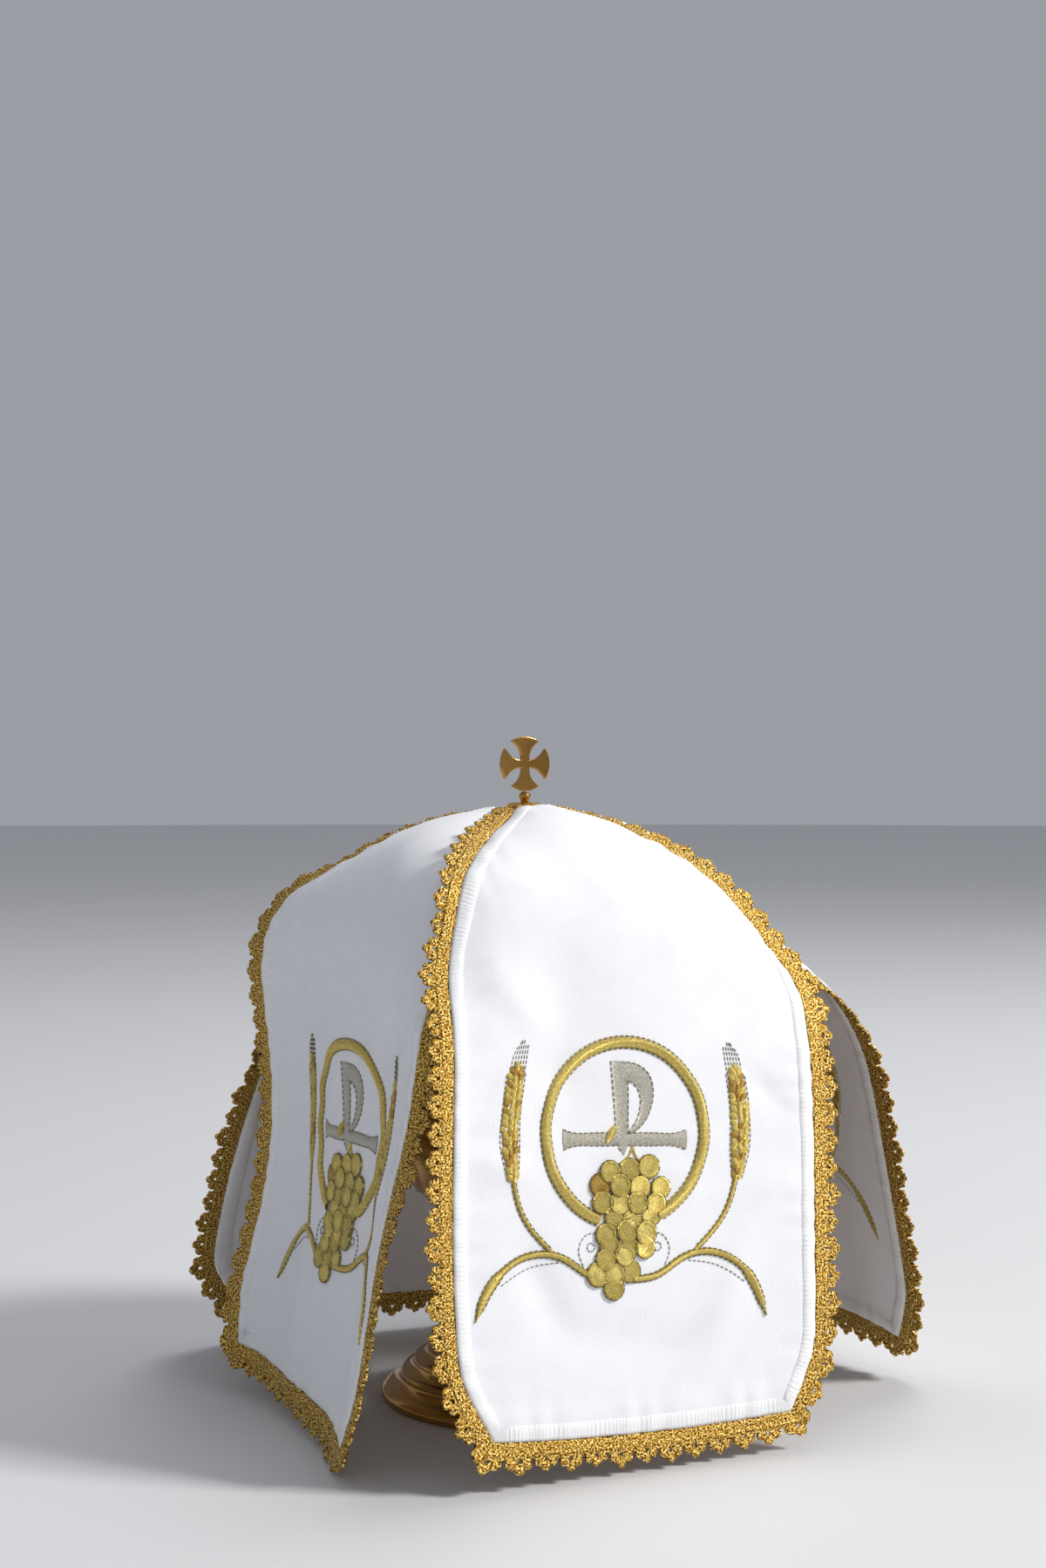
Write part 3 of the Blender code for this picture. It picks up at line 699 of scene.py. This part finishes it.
def scallop_grid():
    """One scallop's points (along, away) and half-thickness, column by column, and which cells it has."""
    edge = scallop_outline()
    columns = len(edge)
    base = np.linspace(-SCALLOP_PITCH / 2, SCALLOP_PITCH / 2, columns)[:, None]
    band = LACE_GAP + (BAND_DEPTH - LACE_GAP) * np.linspace(0, 1, BAND_ROWS)
    fan = np.linspace(0, 1, FAN_ROWS + 1)[1:]
    whole = (columns, BAND_ROWS)
    along_fan = base * FAN_GATHER * (1 - fan) + edge[:, :1] * fan
    away_fan = BAND_DEPTH * (1 - fan) + edge[:, 1:] * fan
    along = np.concatenate([np.broadcast_to(base, whole), along_fan], axis=1)
    away = np.concatenate([np.broadcast_to(band, whole), away_fan], axis=1)
    swell = np.array(BAND_SWELL + [FAN_SWELL] * FAN_ROWS)
    half = np.broadcast_to(swell * LACE_HALF, along.shape).copy()
    for centre_along, centre_away in ((-LOBE_CENTRE[0], LOBE_CENTRE[1]), LOBE_CENTRE, PICOT_CENTRE):
        from_knob = np.hypot(along - centre_along, away - centre_away)
        half = np.maximum(half, KNOB_HALF * bell(from_knob, KNOB_SPREAD))
    half[:, -1] = RIM_HALF
    half[:, -2] = np.maximum(half[:, -2], RIM_CORD_HALF)
    cells = np.ones((columns - 1, BAND_ROWS + FAN_ROWS - 1), bool)
    middle = (columns - 1) // 2
    cells[middle - 1 : middle + 1, BAND_ROWS + 1 : BAND_ROWS + 3] = False
    return along, away, half, cells


def rim_quads(cells, top, low):
    """Quads that join the two sides of a grid of cells wherever a cell has no neighbour."""
    padded = np.pad(cells, 1)
    quads = []
    for axis in (0, 1):
        here = padded[1:, 1:-1] if axis == 0 else padded[1:-1, 1:]
        before = padded[:-1, 1:-1] if axis == 0 else padded[1:-1, :-1]
        for present, flip in ((here & ~before, axis == 1), (before & ~here, axis == 0)):
            i, j = np.nonzero(present)
            ends = ((i, j), (i, j + 1)) if axis == 0 else ((i, j), (i + 1, j))
            quad = np.stack([top[ends[0]], top[ends[1]], low[ends[1]], low[ends[0]]], axis=1)
            quads.append(quad[:, ::-1] if flip else quad)
    return np.concatenate(quads)


def crochet(drape, material):
    """The crochet lace round one lappet: a pebbled band and its scallops, on both sides."""
    random = np.random.default_rng(LACE_SEED + len(drape.name))
    place, out, normal, length = edge_frames(drape, LACE_START[drape.name])
    count = round(length[-1] / SCALLOP_PITCH)
    along, away, half, cells = scallop_grid()
    columns, rows = along.shape
    total = count * (columns - 1) + 1
    unit = np.minimum(np.arange(total) // (columns - 1), count - 1)
    column = np.arange(total) - unit * (columns - 1)
    station = (unit[:, None] + 0.5 + along[column] / SCALLOP_PITCH) * (length[-1] / count)
    station = np.clip(station + random.normal(0, ALONG_SPREAD, station.shape), 0, length[-1])
    from_end = np.minimum(station, length[-1] - station)
    taper = LACE_END_DEPTH + (1 - LACE_END_DEPTH) * smooth_step(from_end / LACE_TAPER)
    swing = 1 + SCALLOP_SPREAD * random.normal(0, 1, count)[unit][:, None] * (away[column] > BAND_DEPTH)
    depth = away[column] * taper * swing + random.normal(0, DEPTH_SPREAD, station.shape)
    checker = (np.arange(total)[:, None] // 2 + np.arange(rows)[None, :] // 2) % 2
    thick = half[column] * (PEBBLE_LOW + PEBBLE_STEP * checker)
    thick = np.clip(thick + random.normal(0, THICK_SPREAD, station.shape), *THICK_RANGE)
    base, outwards, lift = (read_at(station, length, values) for values in (place, out, normal))
    lifted = lift * random.normal(0, LIFT_SPREAD, station.shape)[..., None]
    middle = base + outwards * depth[..., None] + lifted
    sides = [middle + lift * thick[..., None], middle - lift * thick[..., None]]
    cells = np.tile(cells, (count, 1))
    top = np.arange(total * rows).reshape(total, rows)
    i, j = np.nonzero(cells)
    face = np.stack([top[i, j], top[i + 1, j], top[i + 1, j + 1], top[i, j + 1]], axis=1)
    quads = np.concatenate([face, face[:, ::-1] + top.size, rim_quads(cells, top, top + top.size)])
    flat = np.stack([station, depth], axis=-1)
    return one_form(f"crochet_{drape.name}", sides, [flat, flat], quads[:, ::-1], material)


class Needlework:
    """Embroidery on one side of a lappet, drawn in the motif's own millimetres and laid on the cloth."""

    def __init__(self, drape, side):
        self.drape = drape
        self.side = side
        self.relief = 1.0 if side > 0 else REVERSE_RELIEF
        self.random = np.random.default_rng(MOTIF_SEED)
        self.pile = Pile()

    def on_cloth(self, a, b, height):
        """Places for motif coordinates a across and b down, at a height off the cloth's face."""
        middle_x, middle_v, turn = MOTIF[self.drape.name]
        c, s = cos(radians(turn)), sin(radians(turn))
        x = middle_x + a * c - b * s
        v = middle_v + a * s + b * c
        return self.drape.raised(x, v, self.side * (CLOTH_HALF + height * self.relief))

    def add(self, a, b, height, flat, quads, slot):
        quads = quads if self.side > 0 else quads[:, ::-1]
        self.pile.add(self.on_cloth(a, b, height), flat, quads, slot)

    def band(self, path, width, height, slot, ridge=0.0, section=5):
        """A domed band of stitches along a path; width may be one value or one for each point."""
        place = np.linspace(-1, 1, section)
        half = np.broadcast_to(width, len(path))[:, None] / 2 * place
        dome = np.sqrt(np.clip(1 - place**2, 0, 1)) * (1 + BAND_SINK) - BAND_SINK
        lump = 1 + ridge * np.cos(np.arange(len(path)) * pi)
        places = path[:, None, :] + sideways(path)[:, None, :] * half[..., None]
        heights = dome[None, :] * height * lump[:, None]
        flat = np.stack(np.broadcast_arrays(lengths(path)[:, None], half), axis=-1)
        quads = grid_quads(len(path), section)[:, ::-1]
        self.add(places[..., 0], places[..., 1], heights, flat, quads, slot)

    def between(self, first, second, height, slot, section=11, count=60):
        """A domed patch of stitches between two smooth lines; returns the lines."""
        lines = [smooth_line(first, count), smooth_line(second, count)]
        place = np.linspace(0, 1, section)[None, :, None]
        middle = lines[0][:, None, :] * (1 - place) + lines[1][:, None, :] * place
        dome = np.clip(1 - (2 * place[0, :, 0] - 1) ** 2, 0, 1) * (1 + PATCH_SINK) - PATCH_SINK
        heights = np.broadcast_to(dome[None, :] * height, middle.shape[:2])
        self.add(middle[..., 0], middle[..., 1], heights, middle, grid_quads(count, section), slot)
        return lines

    def blob(self, centre, radii, turn, slot, height, rim=0.0, steps=14):
        """A domed patch of stitches, round or long, with a raised outline where rim is over 0."""
        lifts = (BLOB_LIFTS + BLOB_RIM * rim) * height
        angle = np.linspace(0, 2 * pi, steps + 1)
        u = BLOB_RINGS[:, None] * radii[0] * np.cos(angle)[None, :]
        w = BLOB_RINGS[:, None] * radii[1] * np.sin(angle)[None, :]
        c, s = cos(turn), sin(turn)
        a = centre[0] + u * c - w * s
        b = centre[1] + u * s + w * c
        heights = np.broadcast_to(lifts[:, None], a.shape)
        quads = grid_quads(len(BLOB_RINGS), steps + 1)
        self.add(a, b, heights, np.stack([u, w], axis=-1), quads, slot)

    def running_stitch(self, path, slot=STITCH, stitch=1.8, gap=0.7, width=0.62, height=0.5):
        """Separate short stitches along a path."""
        length = lengths(path)
        for start in np.arange(0, length[-1] - stitch, stitch + gap):
            piece = read_at(start + stitch * STITCH_STATIONS, length, path)
            self.band(piece, width * STITCH_TAPER, height, slot, section=3)


def circle(radius, start=0.0, end=2 * pi, count=160):
    angle = np.linspace(start, end, count)
    return np.stack([radius * np.cos(angle), radius * np.sin(angle)], axis=1)


def sideways(path):
    """Unit directions across a path at each of its points."""
    tangent = np.gradient(path, axis=0)
    tangent /= np.linalg.norm(tangent, axis=1, keepdims=True)
    return np.stack([-tangent[:, 1], tangent[:, 0]], axis=1)


def beside(path, distance):
    """A path moved sideways by a distance."""
    return path + sideways(path) * distance


def ring(work):
    """The ring round the monogram, open behind the grapes, with running stitches along its edges."""
    start, end = pi / 2 + RING_OPENINGS[0], pi / 2 + 2 * pi - RING_OPENINGS[1]
    path = circle(RING_RADIUS, start, end, 260)
    work.band(path, RING_BAND, RING_HEIGHT, GOLD, ridge=0.04, section=11)
    for side in (1, -1):
        work.running_stitch(beside(path, side * (RING_BAND / 2 + EDGE_CLEAR)))


def monogram(work):
    """A letter P on a short bar with flared ends, outlined in running stitch."""
    upper = [(-28.5, -1.4), (-25, -0.2), (-14, 0.1), (0, 0.2), (14, 0.1), (25, -0.2), (28.5, -1.4)]
    lower = [(-28.5, 7.0), (-25, 5.8), (-14, 5.3), (0, 5.2), (14, 5.3), (25, 5.8), (28.5, 7.0)]
    outer = [
        (-2.0, -28.6), (4.5, -27.8), (10.4, -24.0), (12.8, -16.6), (11.2, -8.4), (7.4, -2.6), (2.6, 0.6),
    ]
    inner = [
        (-1.0, -21.6), (1.6, -20.6), (5.0, -18.2), (6.8, -13.4), (6.0, -7.4), (4.0, -3.2), (1.4, -1.0),
    ]
    left = [(-6.8, -28.8), (-6.0, -20), (-5.0, -10), (-4.3, 0), (-3.2, 5.4), (-0.8, 9.0)]
    right = [(0.4, -28.6), (1.1, -20), (1.3, -10), (1.4, 0), (1.2, 5.4), (-0.4, 9.0)]
    leaf_centre, leaf_size, leaf_turn, leaf_height = (-6.6, 0.6), (4.2, 1.7), radians(-58), 1.6
    lines = work.between(lower, upper, BAR_HEIGHT, SILVER)
    lines += work.between(inner, outer, BOWL_HEIGHT, SILVER)
    stem = work.between(left, right, STEM_HEIGHT, SILVER)
    for line in (*lines, stem[0], stem[1][STEM_SHOWN]):
        work.running_stitch(line)
    work.blob(leaf_centre, leaf_size, leaf_turn, GOLD, leaf_height)


def grapes(work):
    """The bunch of grapes, each berry a domed patch with a stitched outline, and its forked stalk."""
    random = np.random.default_rng(BUNCH_SEED)
    for stalk in STALKS:
        work.band(smooth_line(stalk, 12), 1.2, 0.8, GOLD)
    across, down, size, rise = BERRY_SPREAD
    inner, outer = BERRY_RINGS
    for count, middle, b, spacing in BUNCH_ROWS:
        for k in range(count):
            a = middle + spacing * (k - (count - 1) / 2) + random.normal(0, across)
            centre = (a, b + random.normal(0, down))
            radius = BERRY_RADIUS * (1 + random.normal(0, size))
            slot = BROWN if (b, k) == BROWN_BERRY else GOLD
            height = BERRY_HEIGHT + random.normal(0, rise)
            work.blob(centre, (radius, radius), random.uniform(0, pi), slot, height, rim=0.3, steps=20)
            work.band(circle(radius * inner, count=26) + centre, 0.7, height * 0.8, GOLD, section=3)
            edge = circle(radius * outer, count=40) + centre
            work.running_stitch(edge, stitch=2.0, gap=0.5, width=FINE, height=height * 0.9)


def wheat(work, sign):
    """One ear of wheat with its awns and stem."""
    spine = smooth_line([(sign * a, b) for a, b in EAR_SPINE], EAR_ROWS)
    for k, (a, b) in enumerate(spine):
        fill = 0.2 + 0.9 * sin(pi * (0.05 + 0.86 * k / EAR_ROWS)) ** 0.7
        for column in (-1, 0, 1):
            shift = work.random.normal(0, 0.25, 2)
            lower = 0.0 if column else -1.4
            centre = (a + column * GRAIN_SPACING * fill + shift[0], b + lower + shift[1])
            slot = BROWN if work.random.random() < BROWN_SHARE else GOLD
            tilt = radians(-90 + column * GRAIN_SLANT + work.random.normal(0, 8))
            work.blob(centre, GRAIN_SIZE, tilt, slot, 1.0 + work.random.normal(0, 0.2), steps=8)
    top = spine[-1]
    end = np.array((sign * AWN_END[0], AWN_END[1]))
    for k in AWNS:
        awn = [top + (k * 1.3, 6), (top + end) / 2 + (k * 1.6, 0), end + (k * 1.0, abs(k))]
        work.running_stitch(smooth_line(awn, 20), stitch=1.5, gap=0.6, width=FINE)
    for side in (-1, 1):
        edge = spine + (side * 4.5, 0)
        edge[0] = spine[0] + (side * 2.2, 1.5)
        work.running_stitch(smooth_line(edge[::4], 30), stitch=1.5, gap=0.7, width=FINE)
    stem = smooth_line([(sign * a, b) for a, b in EAR_STEM], 44)
    work.band(stem, 2.0, 0.95, GOLD, ridge=0.12)
    for side in (1, -1):
        work.running_stitch(beside(stem, side * 1.1), width=FINE)


def vine(work, sign):
    """One vine stem that ends in a long curved leaf, with a dashed second line and a tendril."""
    path, under, tendril = (
        smooth_line([(sign * a, b) for a, b in points], count)
        for points, count in ((VINE, 110), (UNDERLINE, 40), (TENDRIL, 40))
    )
    t = np.linspace(0, 1, len(path))
    width = 2.8 + 1.5 * smooth_step((t - 0.70) / 0.06) - 0.6 * smooth_step((t - 0.8) / 0.12)
    width *= 1 - 0.9 * smooth_step((t - 0.90) / 0.10)
    work.band(path, width, 1.25, GOLD, ridge=0.07, section=7)
    for side in (1, -1):
        edge = path + (beside(path, side) - path) * (width[:, None] / 2)
        work.running_stitch(edge, width=0.55, height=0.7)
    work.running_stitch(under, stitch=1.4, gap=0.8, width=FINE)
    work.running_stitch(tendril, stitch=1.5, gap=0.6, width=FINE)
    curl = circle(CURL[2], count=30) + (sign * CURL[0], CURL[1])
    work.running_stitch(curl, stitch=1.2, gap=0.3, width=FINE)


def embroidery(drape, side, materials):
    """All the embroidery of one lappet, on its face or, flatter, on its reverse."""
    work = Needlework(drape, side)
    ring(work)
    for sign in (-1, 1):
        vine(work, sign)
        wheat(work, sign)
    monogram(work)
    grapes(work)
    name = "face" if side > 0 else "reverse"
    return work.pile.make(f"embroidery_{drape.name}_{name}", materials)


def neck_frill(material):
    """The gathered lace round the foot of the finial: a pebbled ring with a ruffled edge."""
    random = np.random.default_rng(FRILL_SEED)
    rows = FRILL_STEPS + 1
    angle = np.linspace(0, 2 * pi, rows)[:, None]
    radius, height = (np.tile(values, (rows, 1)) for values in np.array(FRILL_SECTION).T)
    ruffle = np.sin(angle * FRILL_RUFFLES) * np.linspace(0, FRILL_RUFFLE, len(FRILL_SECTION))
    radius += ruffle + random.normal(0, FRILL_SPREAD, radius.shape)
    height += random.normal(0, FRILL_SPREAD, height.shape)
    radius[-1] = radius[0]
    height[-1] = height[0]
    radius[:, 0] = np.clip(radius[:, 0], *FRILL_INNER)
    places = np.stack([radius * np.cos(angle), radius * np.sin(angle), height], axis=-1)
    flat = np.stack([angle * radius, height], axis=-1)
    return one_form("neck_frill", places, flat, tube_quads(rows, len(FRILL_SECTION)), material)


def turned(name, profile, material):
    """A turned piece with rounded edges, from its outline."""
    mesh = bpy.data.meshes.new(name)
    edges = [(i, i + 1) for i in range(len(profile) - 1)]
    mesh.from_pydata([(r * MM, 0, z * MM) for r, z in profile], edges, [])
    mesh.materials.append(material)
    obj = placed(name, mesh)
    screw = obj.modifiers.new("turn", "SCREW")
    screw.steps = screw.render_steps = TURNED_STEPS
    screw.use_merge_vertices = True
    screw.merge_threshold = 1e-5
    screw.use_smooth_shade = True
    screw.use_normal_calculate = True
    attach(obj, "root")
    return obj


def cross(material):
    """The flat cross in its round outline, with bevelled edges."""
    tip_x = CROSS_RADIUS * cos(CROSS_ARM_ANGLE)
    tip_y = CROSS_RADIUS * sin(CROSS_ARM_ANGLE)
    points = []
    for arm in range(4):
        turn = pi / 2 * arm
        flare = []
        for k in range(1, CROSS_FLARE_STEPS + 1):
            t = k / CROSS_FLARE_STEPS
            x = CROSS_WAIST + (tip_x - CROSS_WAIST) * t
            flare.append((x, CROSS_WAIST + (tip_y - CROSS_WAIST) * t**CROSS_FLARE_POWER))
        angles = [CROSS_ARM_ANGLE * (1 - 2 * k / CROSS_RIM_STEPS) for k in range(1, CROSS_RIM_STEPS)]
        rim = [(CROSS_RADIUS * cos(a), CROSS_RADIUS * sin(a)) for a in angles]
        half = [(CROSS_WAIST, CROSS_WAIST)] + flare + rim + [(x, -y) for x, y in reversed(flare)]
        points += [(x * cos(turn) + y * sin(turn), y * cos(turn) - x * sin(turn)) for x, y in half]
    bm = bmesh.new()
    front = [bm.verts.new((a * MM, -CROSS_HALF_THICKNESS * MM, (CROSS_CENTRE + b) * MM)) for a, b in points]
    grown = bmesh.ops.extrude_face_region(bm, geom=[bm.faces.new(front)])
    moved = [v for v in grown["geom"] if isinstance(v, bmesh.types.BMVert)]
    bmesh.ops.translate(bm, vec=(0, 2 * CROSS_HALF_THICKNESS * MM, 0), verts=moved)
    bmesh.ops.recalc_face_normals(bm, faces=bm.faces)
    mesh = bpy.data.meshes.new("gilt_cross")
    bm.to_mesh(mesh)
    bm.free()
    mesh.materials.append(material)
    mesh.shade_smooth()
    obj = placed("gilt_cross", mesh)
    bevel = obj.modifiers.new("edges", "BEVEL")
    bevel.width = CROSS_BEVEL * MM
    bevel.segments = 2
    bevel.limit_method = "ANGLE"
    bevel.angle_limit = radians(50)
    bevel.harden_normals = True
    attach(obj, "root")
    return obj


class Shader:
    """A Principled material and short ways to add nodes to it."""

    def __init__(self, name, **values):
        self.material = bpy.data.materials.new(name)
        self.material.use_nodes = True
        self.tree = self.material.node_tree
        self.bsdf = self.tree.nodes["Principled BSDF"]
        for socket, value in values.items():
            self.bsdf.inputs[socket.replace("_", " ").title()].default_value = value

    def node(self, kind, **settings):
        """A node with these values of its input sockets, or else of its own settings."""
        made = self.tree.nodes.new(kind)
        for key, value in settings.items():
            if key in made.inputs:
                made.inputs[key].default_value = value
            else:
                setattr(made, key, value)
        return made

    def link(self, source, target):
        self.tree.links.new(source, target)

    def flat_coordinates(self):
        """The flat cut's millimetres."""
        return self.node("ShaderNodeUVMap", uv_map="flat").outputs[0]

    def noise(self, scale, detail, vector=None):
        noise = self.node("ShaderNodeTexNoise", Scale=scale, Detail=detail)
        if vector is None:
            vector = self.node("ShaderNodeTexCoord").outputs["Object"]
        self.link(vector, noise.inputs["Vector"])
        return noise.outputs["Fac"]

    def colour(self, factor, stops):
        """Base colour from a factor, through a ramp of places and colours."""
        ramp = self.node("ShaderNodeValToRGB")
        elements = ramp.color_ramp.elements
        while len(elements) < len(stops):
            elements.new(0.5)
        for element, (place, colour) in zip(elements, stops):
            element.position = place
            element.color = (*colour, 1)
        self.link(factor, ramp.inputs[0])
        self.link(ramp.outputs[0], self.bsdf.inputs["Base Color"])

    def roughness(self, factor, low, high):
        span = self.node("ShaderNodeMapRange", **{"To Min": low, "To Max": high})
        self.link(factor, span.inputs["Value"])
        self.link(span.outputs[0], self.bsdf.inputs["Roughness"])

    def waves(self, scale, direction, vector, distortion):
        wave = self.node(
            "ShaderNodeTexWave", wave_type="BANDS", bands_direction=direction,
            Scale=scale, Distortion=distortion, Detail=1.0,
        )
        self.link(vector, wave.inputs["Vector"])
        return wave.outputs["Fac"]

    def mixed(self, operation, a, b):
        maths = self.node("ShaderNodeMath", operation=operation)
        self.link(a, maths.inputs[0])
        if isinstance(b, float):
            maths.inputs[1].default_value = b
        else:
            self.link(b, maths.inputs[1])
        return maths.outputs[0]

    def bump(self, *layers):
        """Bump from pairs of height output and depth in metres, one on top of the other."""
        previous = None
        for height, depth in layers:
            bump = self.node("ShaderNodeBump", Distance=depth)
            self.link(height, bump.inputs["Height"])
            if previous:
                self.link(previous, bump.inputs["Normal"])
            previous = bump.outputs[0]
        self.link(previous, self.bsdf.inputs["Normal"])


def white_cloth():
    """Smooth white cloth: a fine plain weave with a faint lavender cast."""
    shader = Shader("white_cloth", roughness=0.72, sheen_weight=0.25, sheen_roughness=0.5)
    flat = shader.flat_coordinates()
    shader.colour(shader.noise(0.09, 4.0, flat), [(0.3, (0.86, 0.865, 0.91)), (0.7, (0.90, 0.90, 0.925))])
    warp, weft = (shader.waves(0.62, direction, flat, 0.6) for direction in "XY")
    shader.bump((shader.mixed("MULTIPLY", warp, weft), 0.00007), (shader.noise(0.9, 5.0, flat), 0.00008))
    return shader.material


def white_satin():
    """Glossy white satin stitch: fine threads across the border."""
    shader = Shader("white_satin", roughness=0.4, sheen_weight=0.2)
    flat = shader.flat_coordinates()
    threads = shader.waves(0.72, "X", flat, 1.2)
    shader.colour(threads, [(0.0, (0.93, 0.935, 0.955)), (0.5, (0.985, 0.985, 0.985))])
    shader.roughness(shader.noise(1.4, 3.0, flat), 0.36, 0.54)
    shader.bump((threads, 0.00009), (shader.noise(2.0, 3.0, flat), 0.00005))
    return shader.material


def lace_gold():
    """Metallic crochet yarn: gold, with painted glints of bright gold and painted shade between its loops.
    """
    shader = Shader("lace_gold", metallic=0.85)
    flat = shader.flat_coordinates()
    glint_and_shade_noise = shader.noise(1.25, 3.5, flat)
    # Middle stops are the yarn's own gold; the near-black stops are painted shade between loops and the
    # brightest stop is painted glints.
    shader.colour(glint_and_shade_noise, [
        (0.37, (0.035, 0.012, 0.001)), (0.45, (0.30, 0.13, 0.012)),
        (0.53, (0.74, 0.43, 0.06)), (0.60, (1.0, 0.84, 0.34)),
    ])
    shader.roughness(glint_and_shade_noise, 0.5, 0.24)
    shader.bump((shader.noise(1.6, 2.5, flat), 0.0006), (shader.noise(4.5, 2.0, flat), 0.0002))
    return shader.material


def thread(name, dark, middle, bright, metallic, rate, depth):
    """Metallic embroidery thread: rows of stitches across a band, with painted glints on the bright strands
    and painted shade on the dark ones.
    """
    shader = Shader(name, metallic=metallic)
    flat = shader.flat_coordinates()
    slanted = shader.node("ShaderNodeMapping", Rotation=(0, 0, radians(24)))
    shader.link(flat, slanted.inputs[0])
    strands = shader.waves(rate, "X", slanted.outputs[0], 1.5)
    glint_and_shade_noise = shader.noise(1.05, 3.0, flat)
    shares = shader.mixed("MULTIPLY", strands, 0.4), shader.mixed("MULTIPLY", glint_and_shade_noise, 0.75)
    # Middle tone is the thread's own colour; the dark tone is painted shade and the bright tone painted
    # glints, laid by strands and noise.
    shader.colour(shader.mixed("ADD", *shares), [(0.36, dark), (0.53, middle), (0.69, bright)])
    shader.roughness(glint_and_shade_noise, 0.42, 0.22)
    shader.bump((strands, depth), (shader.noise(3.0, 2.0, flat), 0.0001))
    return shader.material


def gilt(name, on_lathe):
    """Polished gilt brass with handling haze and, on turned pieces, faint turning marks."""
    shader = Shader(name, metallic=1.0)
    # Gold tones darker than bright gilt: the metal's own colour with painted darkness standing in for
    # reflections of dark surroundings.
    shader.colour(shader.noise(26.0, 4.0), [(0.3, (0.40, 0.20, 0.045)), (0.7, (0.62, 0.36, 0.10))])
    shader.roughness(shader.noise(60.0, 5.0), 0.10, 0.24)
    coordinates = shader.node("ShaderNodeTexCoord").outputs["Object"]
    marks = shader.waves(150.0, "Z", coordinates, 0.4) if on_lathe else shader.noise(120.0, 3.0)
    shader.bump((marks, 0.00003), (shader.noise(420.0, 2.0), 0.00001))
    return shader.material


def floor_material():
    shader = Shader("pale_floor", roughness=0.6)
    shader.colour(shader.noise(0.8, 2.0), [(0.3, (0.70, 0.70, 0.71)), (0.7, (0.715, 0.715, 0.725))])
    return shader.material


def studio():
    """A plain pale floor, soft lights and the camera."""
    bm = bmesh.new()
    bmesh.ops.create_circle(bm, cap_ends=True, radius=FLOOR_RADIUS, segments=96)
    mesh = bpy.data.meshes.new("floor")
    bm.to_mesh(mesh)
    bm.free()
    mesh.materials.append(floor_material())
    floor = placed("floor", mesh)
    floor.location.z = -FLOOR_DROP
    world = bpy.data.worlds.new("studio")
    bpy.context.scene.world = world
    world.use_nodes = True
    background = world.node_tree.nodes["Background"]
    background.inputs["Color"].default_value = SKY_COLOUR
    background.inputs["Strength"].default_value = SKY_STRENGTH
    for name, place, size, power, colour in LIGHTS:
        light = bpy.data.lights.new(name, "AREA")
        light.size = size
        light.energy = power
        light.color = colour
        lamp = placed(name, light)
        lamp.location = place
        x, y, z = np.array((0.0, 0.0, AIM_HEIGHT)) - np.array(place)
        lamp.rotation_euler = (pi / 2 - atan2(-z, hypot(x, y)), 0, atan2(y, x) - pi / 2)
    camera = placed("camera", bpy.data.cameras.new("camera"))
    camera.data.lens = CAMERA_LENS
    c, s = cos(CAMERA_TURN), sin(CAMERA_TURN)
    x = s * CAMERA_DISTANCE + c * CAMERA_SIDE
    y = -c * CAMERA_DISTANCE + s * CAMERA_SIDE
    camera.location = (x, y, CAMERA_HEIGHT)
    camera.rotation_euler = (pi / 2, 0, CAMERA_TURN)
    bpy.context.scene.camera = camera
    bpy.context.scene.view_settings.view_transform = "Standard"


def ciborium():
    """The turned pieces of the ciborium and its cross, in gilt brass."""
    metal = gilt("gilt_turned", True)
    for node, profile in (
        ("ciborium_foot", FOOT_PROFILE),
        ("ciborium_bowl", BOWL_PROFILE),
        ("ciborium_lid", LID_PROFILE),
        ("ciborium_neck", NECK_PROFILE),
    ):
        piece = turned(node.replace("ciborium", "gilt"), profile, metal)
        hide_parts(node)
    piece = cross(gilt("gilt_flat", False))
    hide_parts("ciborium_cross")


def veil():
    """The four lappets with border, lace and embroidery, and the lace at the neck."""
    cloth_material = white_cloth()
    satin_material = white_satin()
    lace_material = lace_gold()
    threads = [thread(*values) for values in THREADS]
    for name in DRAPE:
        drape = Drape(name)
        sheet = cloth(drape, cloth_material)
        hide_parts(f"lappet_{name}")
        border = satin_border(drape, satin_material)
        lace = crochet(drape, lace_material)
        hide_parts(f"lace_{name}")
        stitched = [embroidery(drape, side, threads) for side in (1, -1)]
    frill = neck_frill(lace_material)
    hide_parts("lace_neck")


studio()
ciborium()
veil()
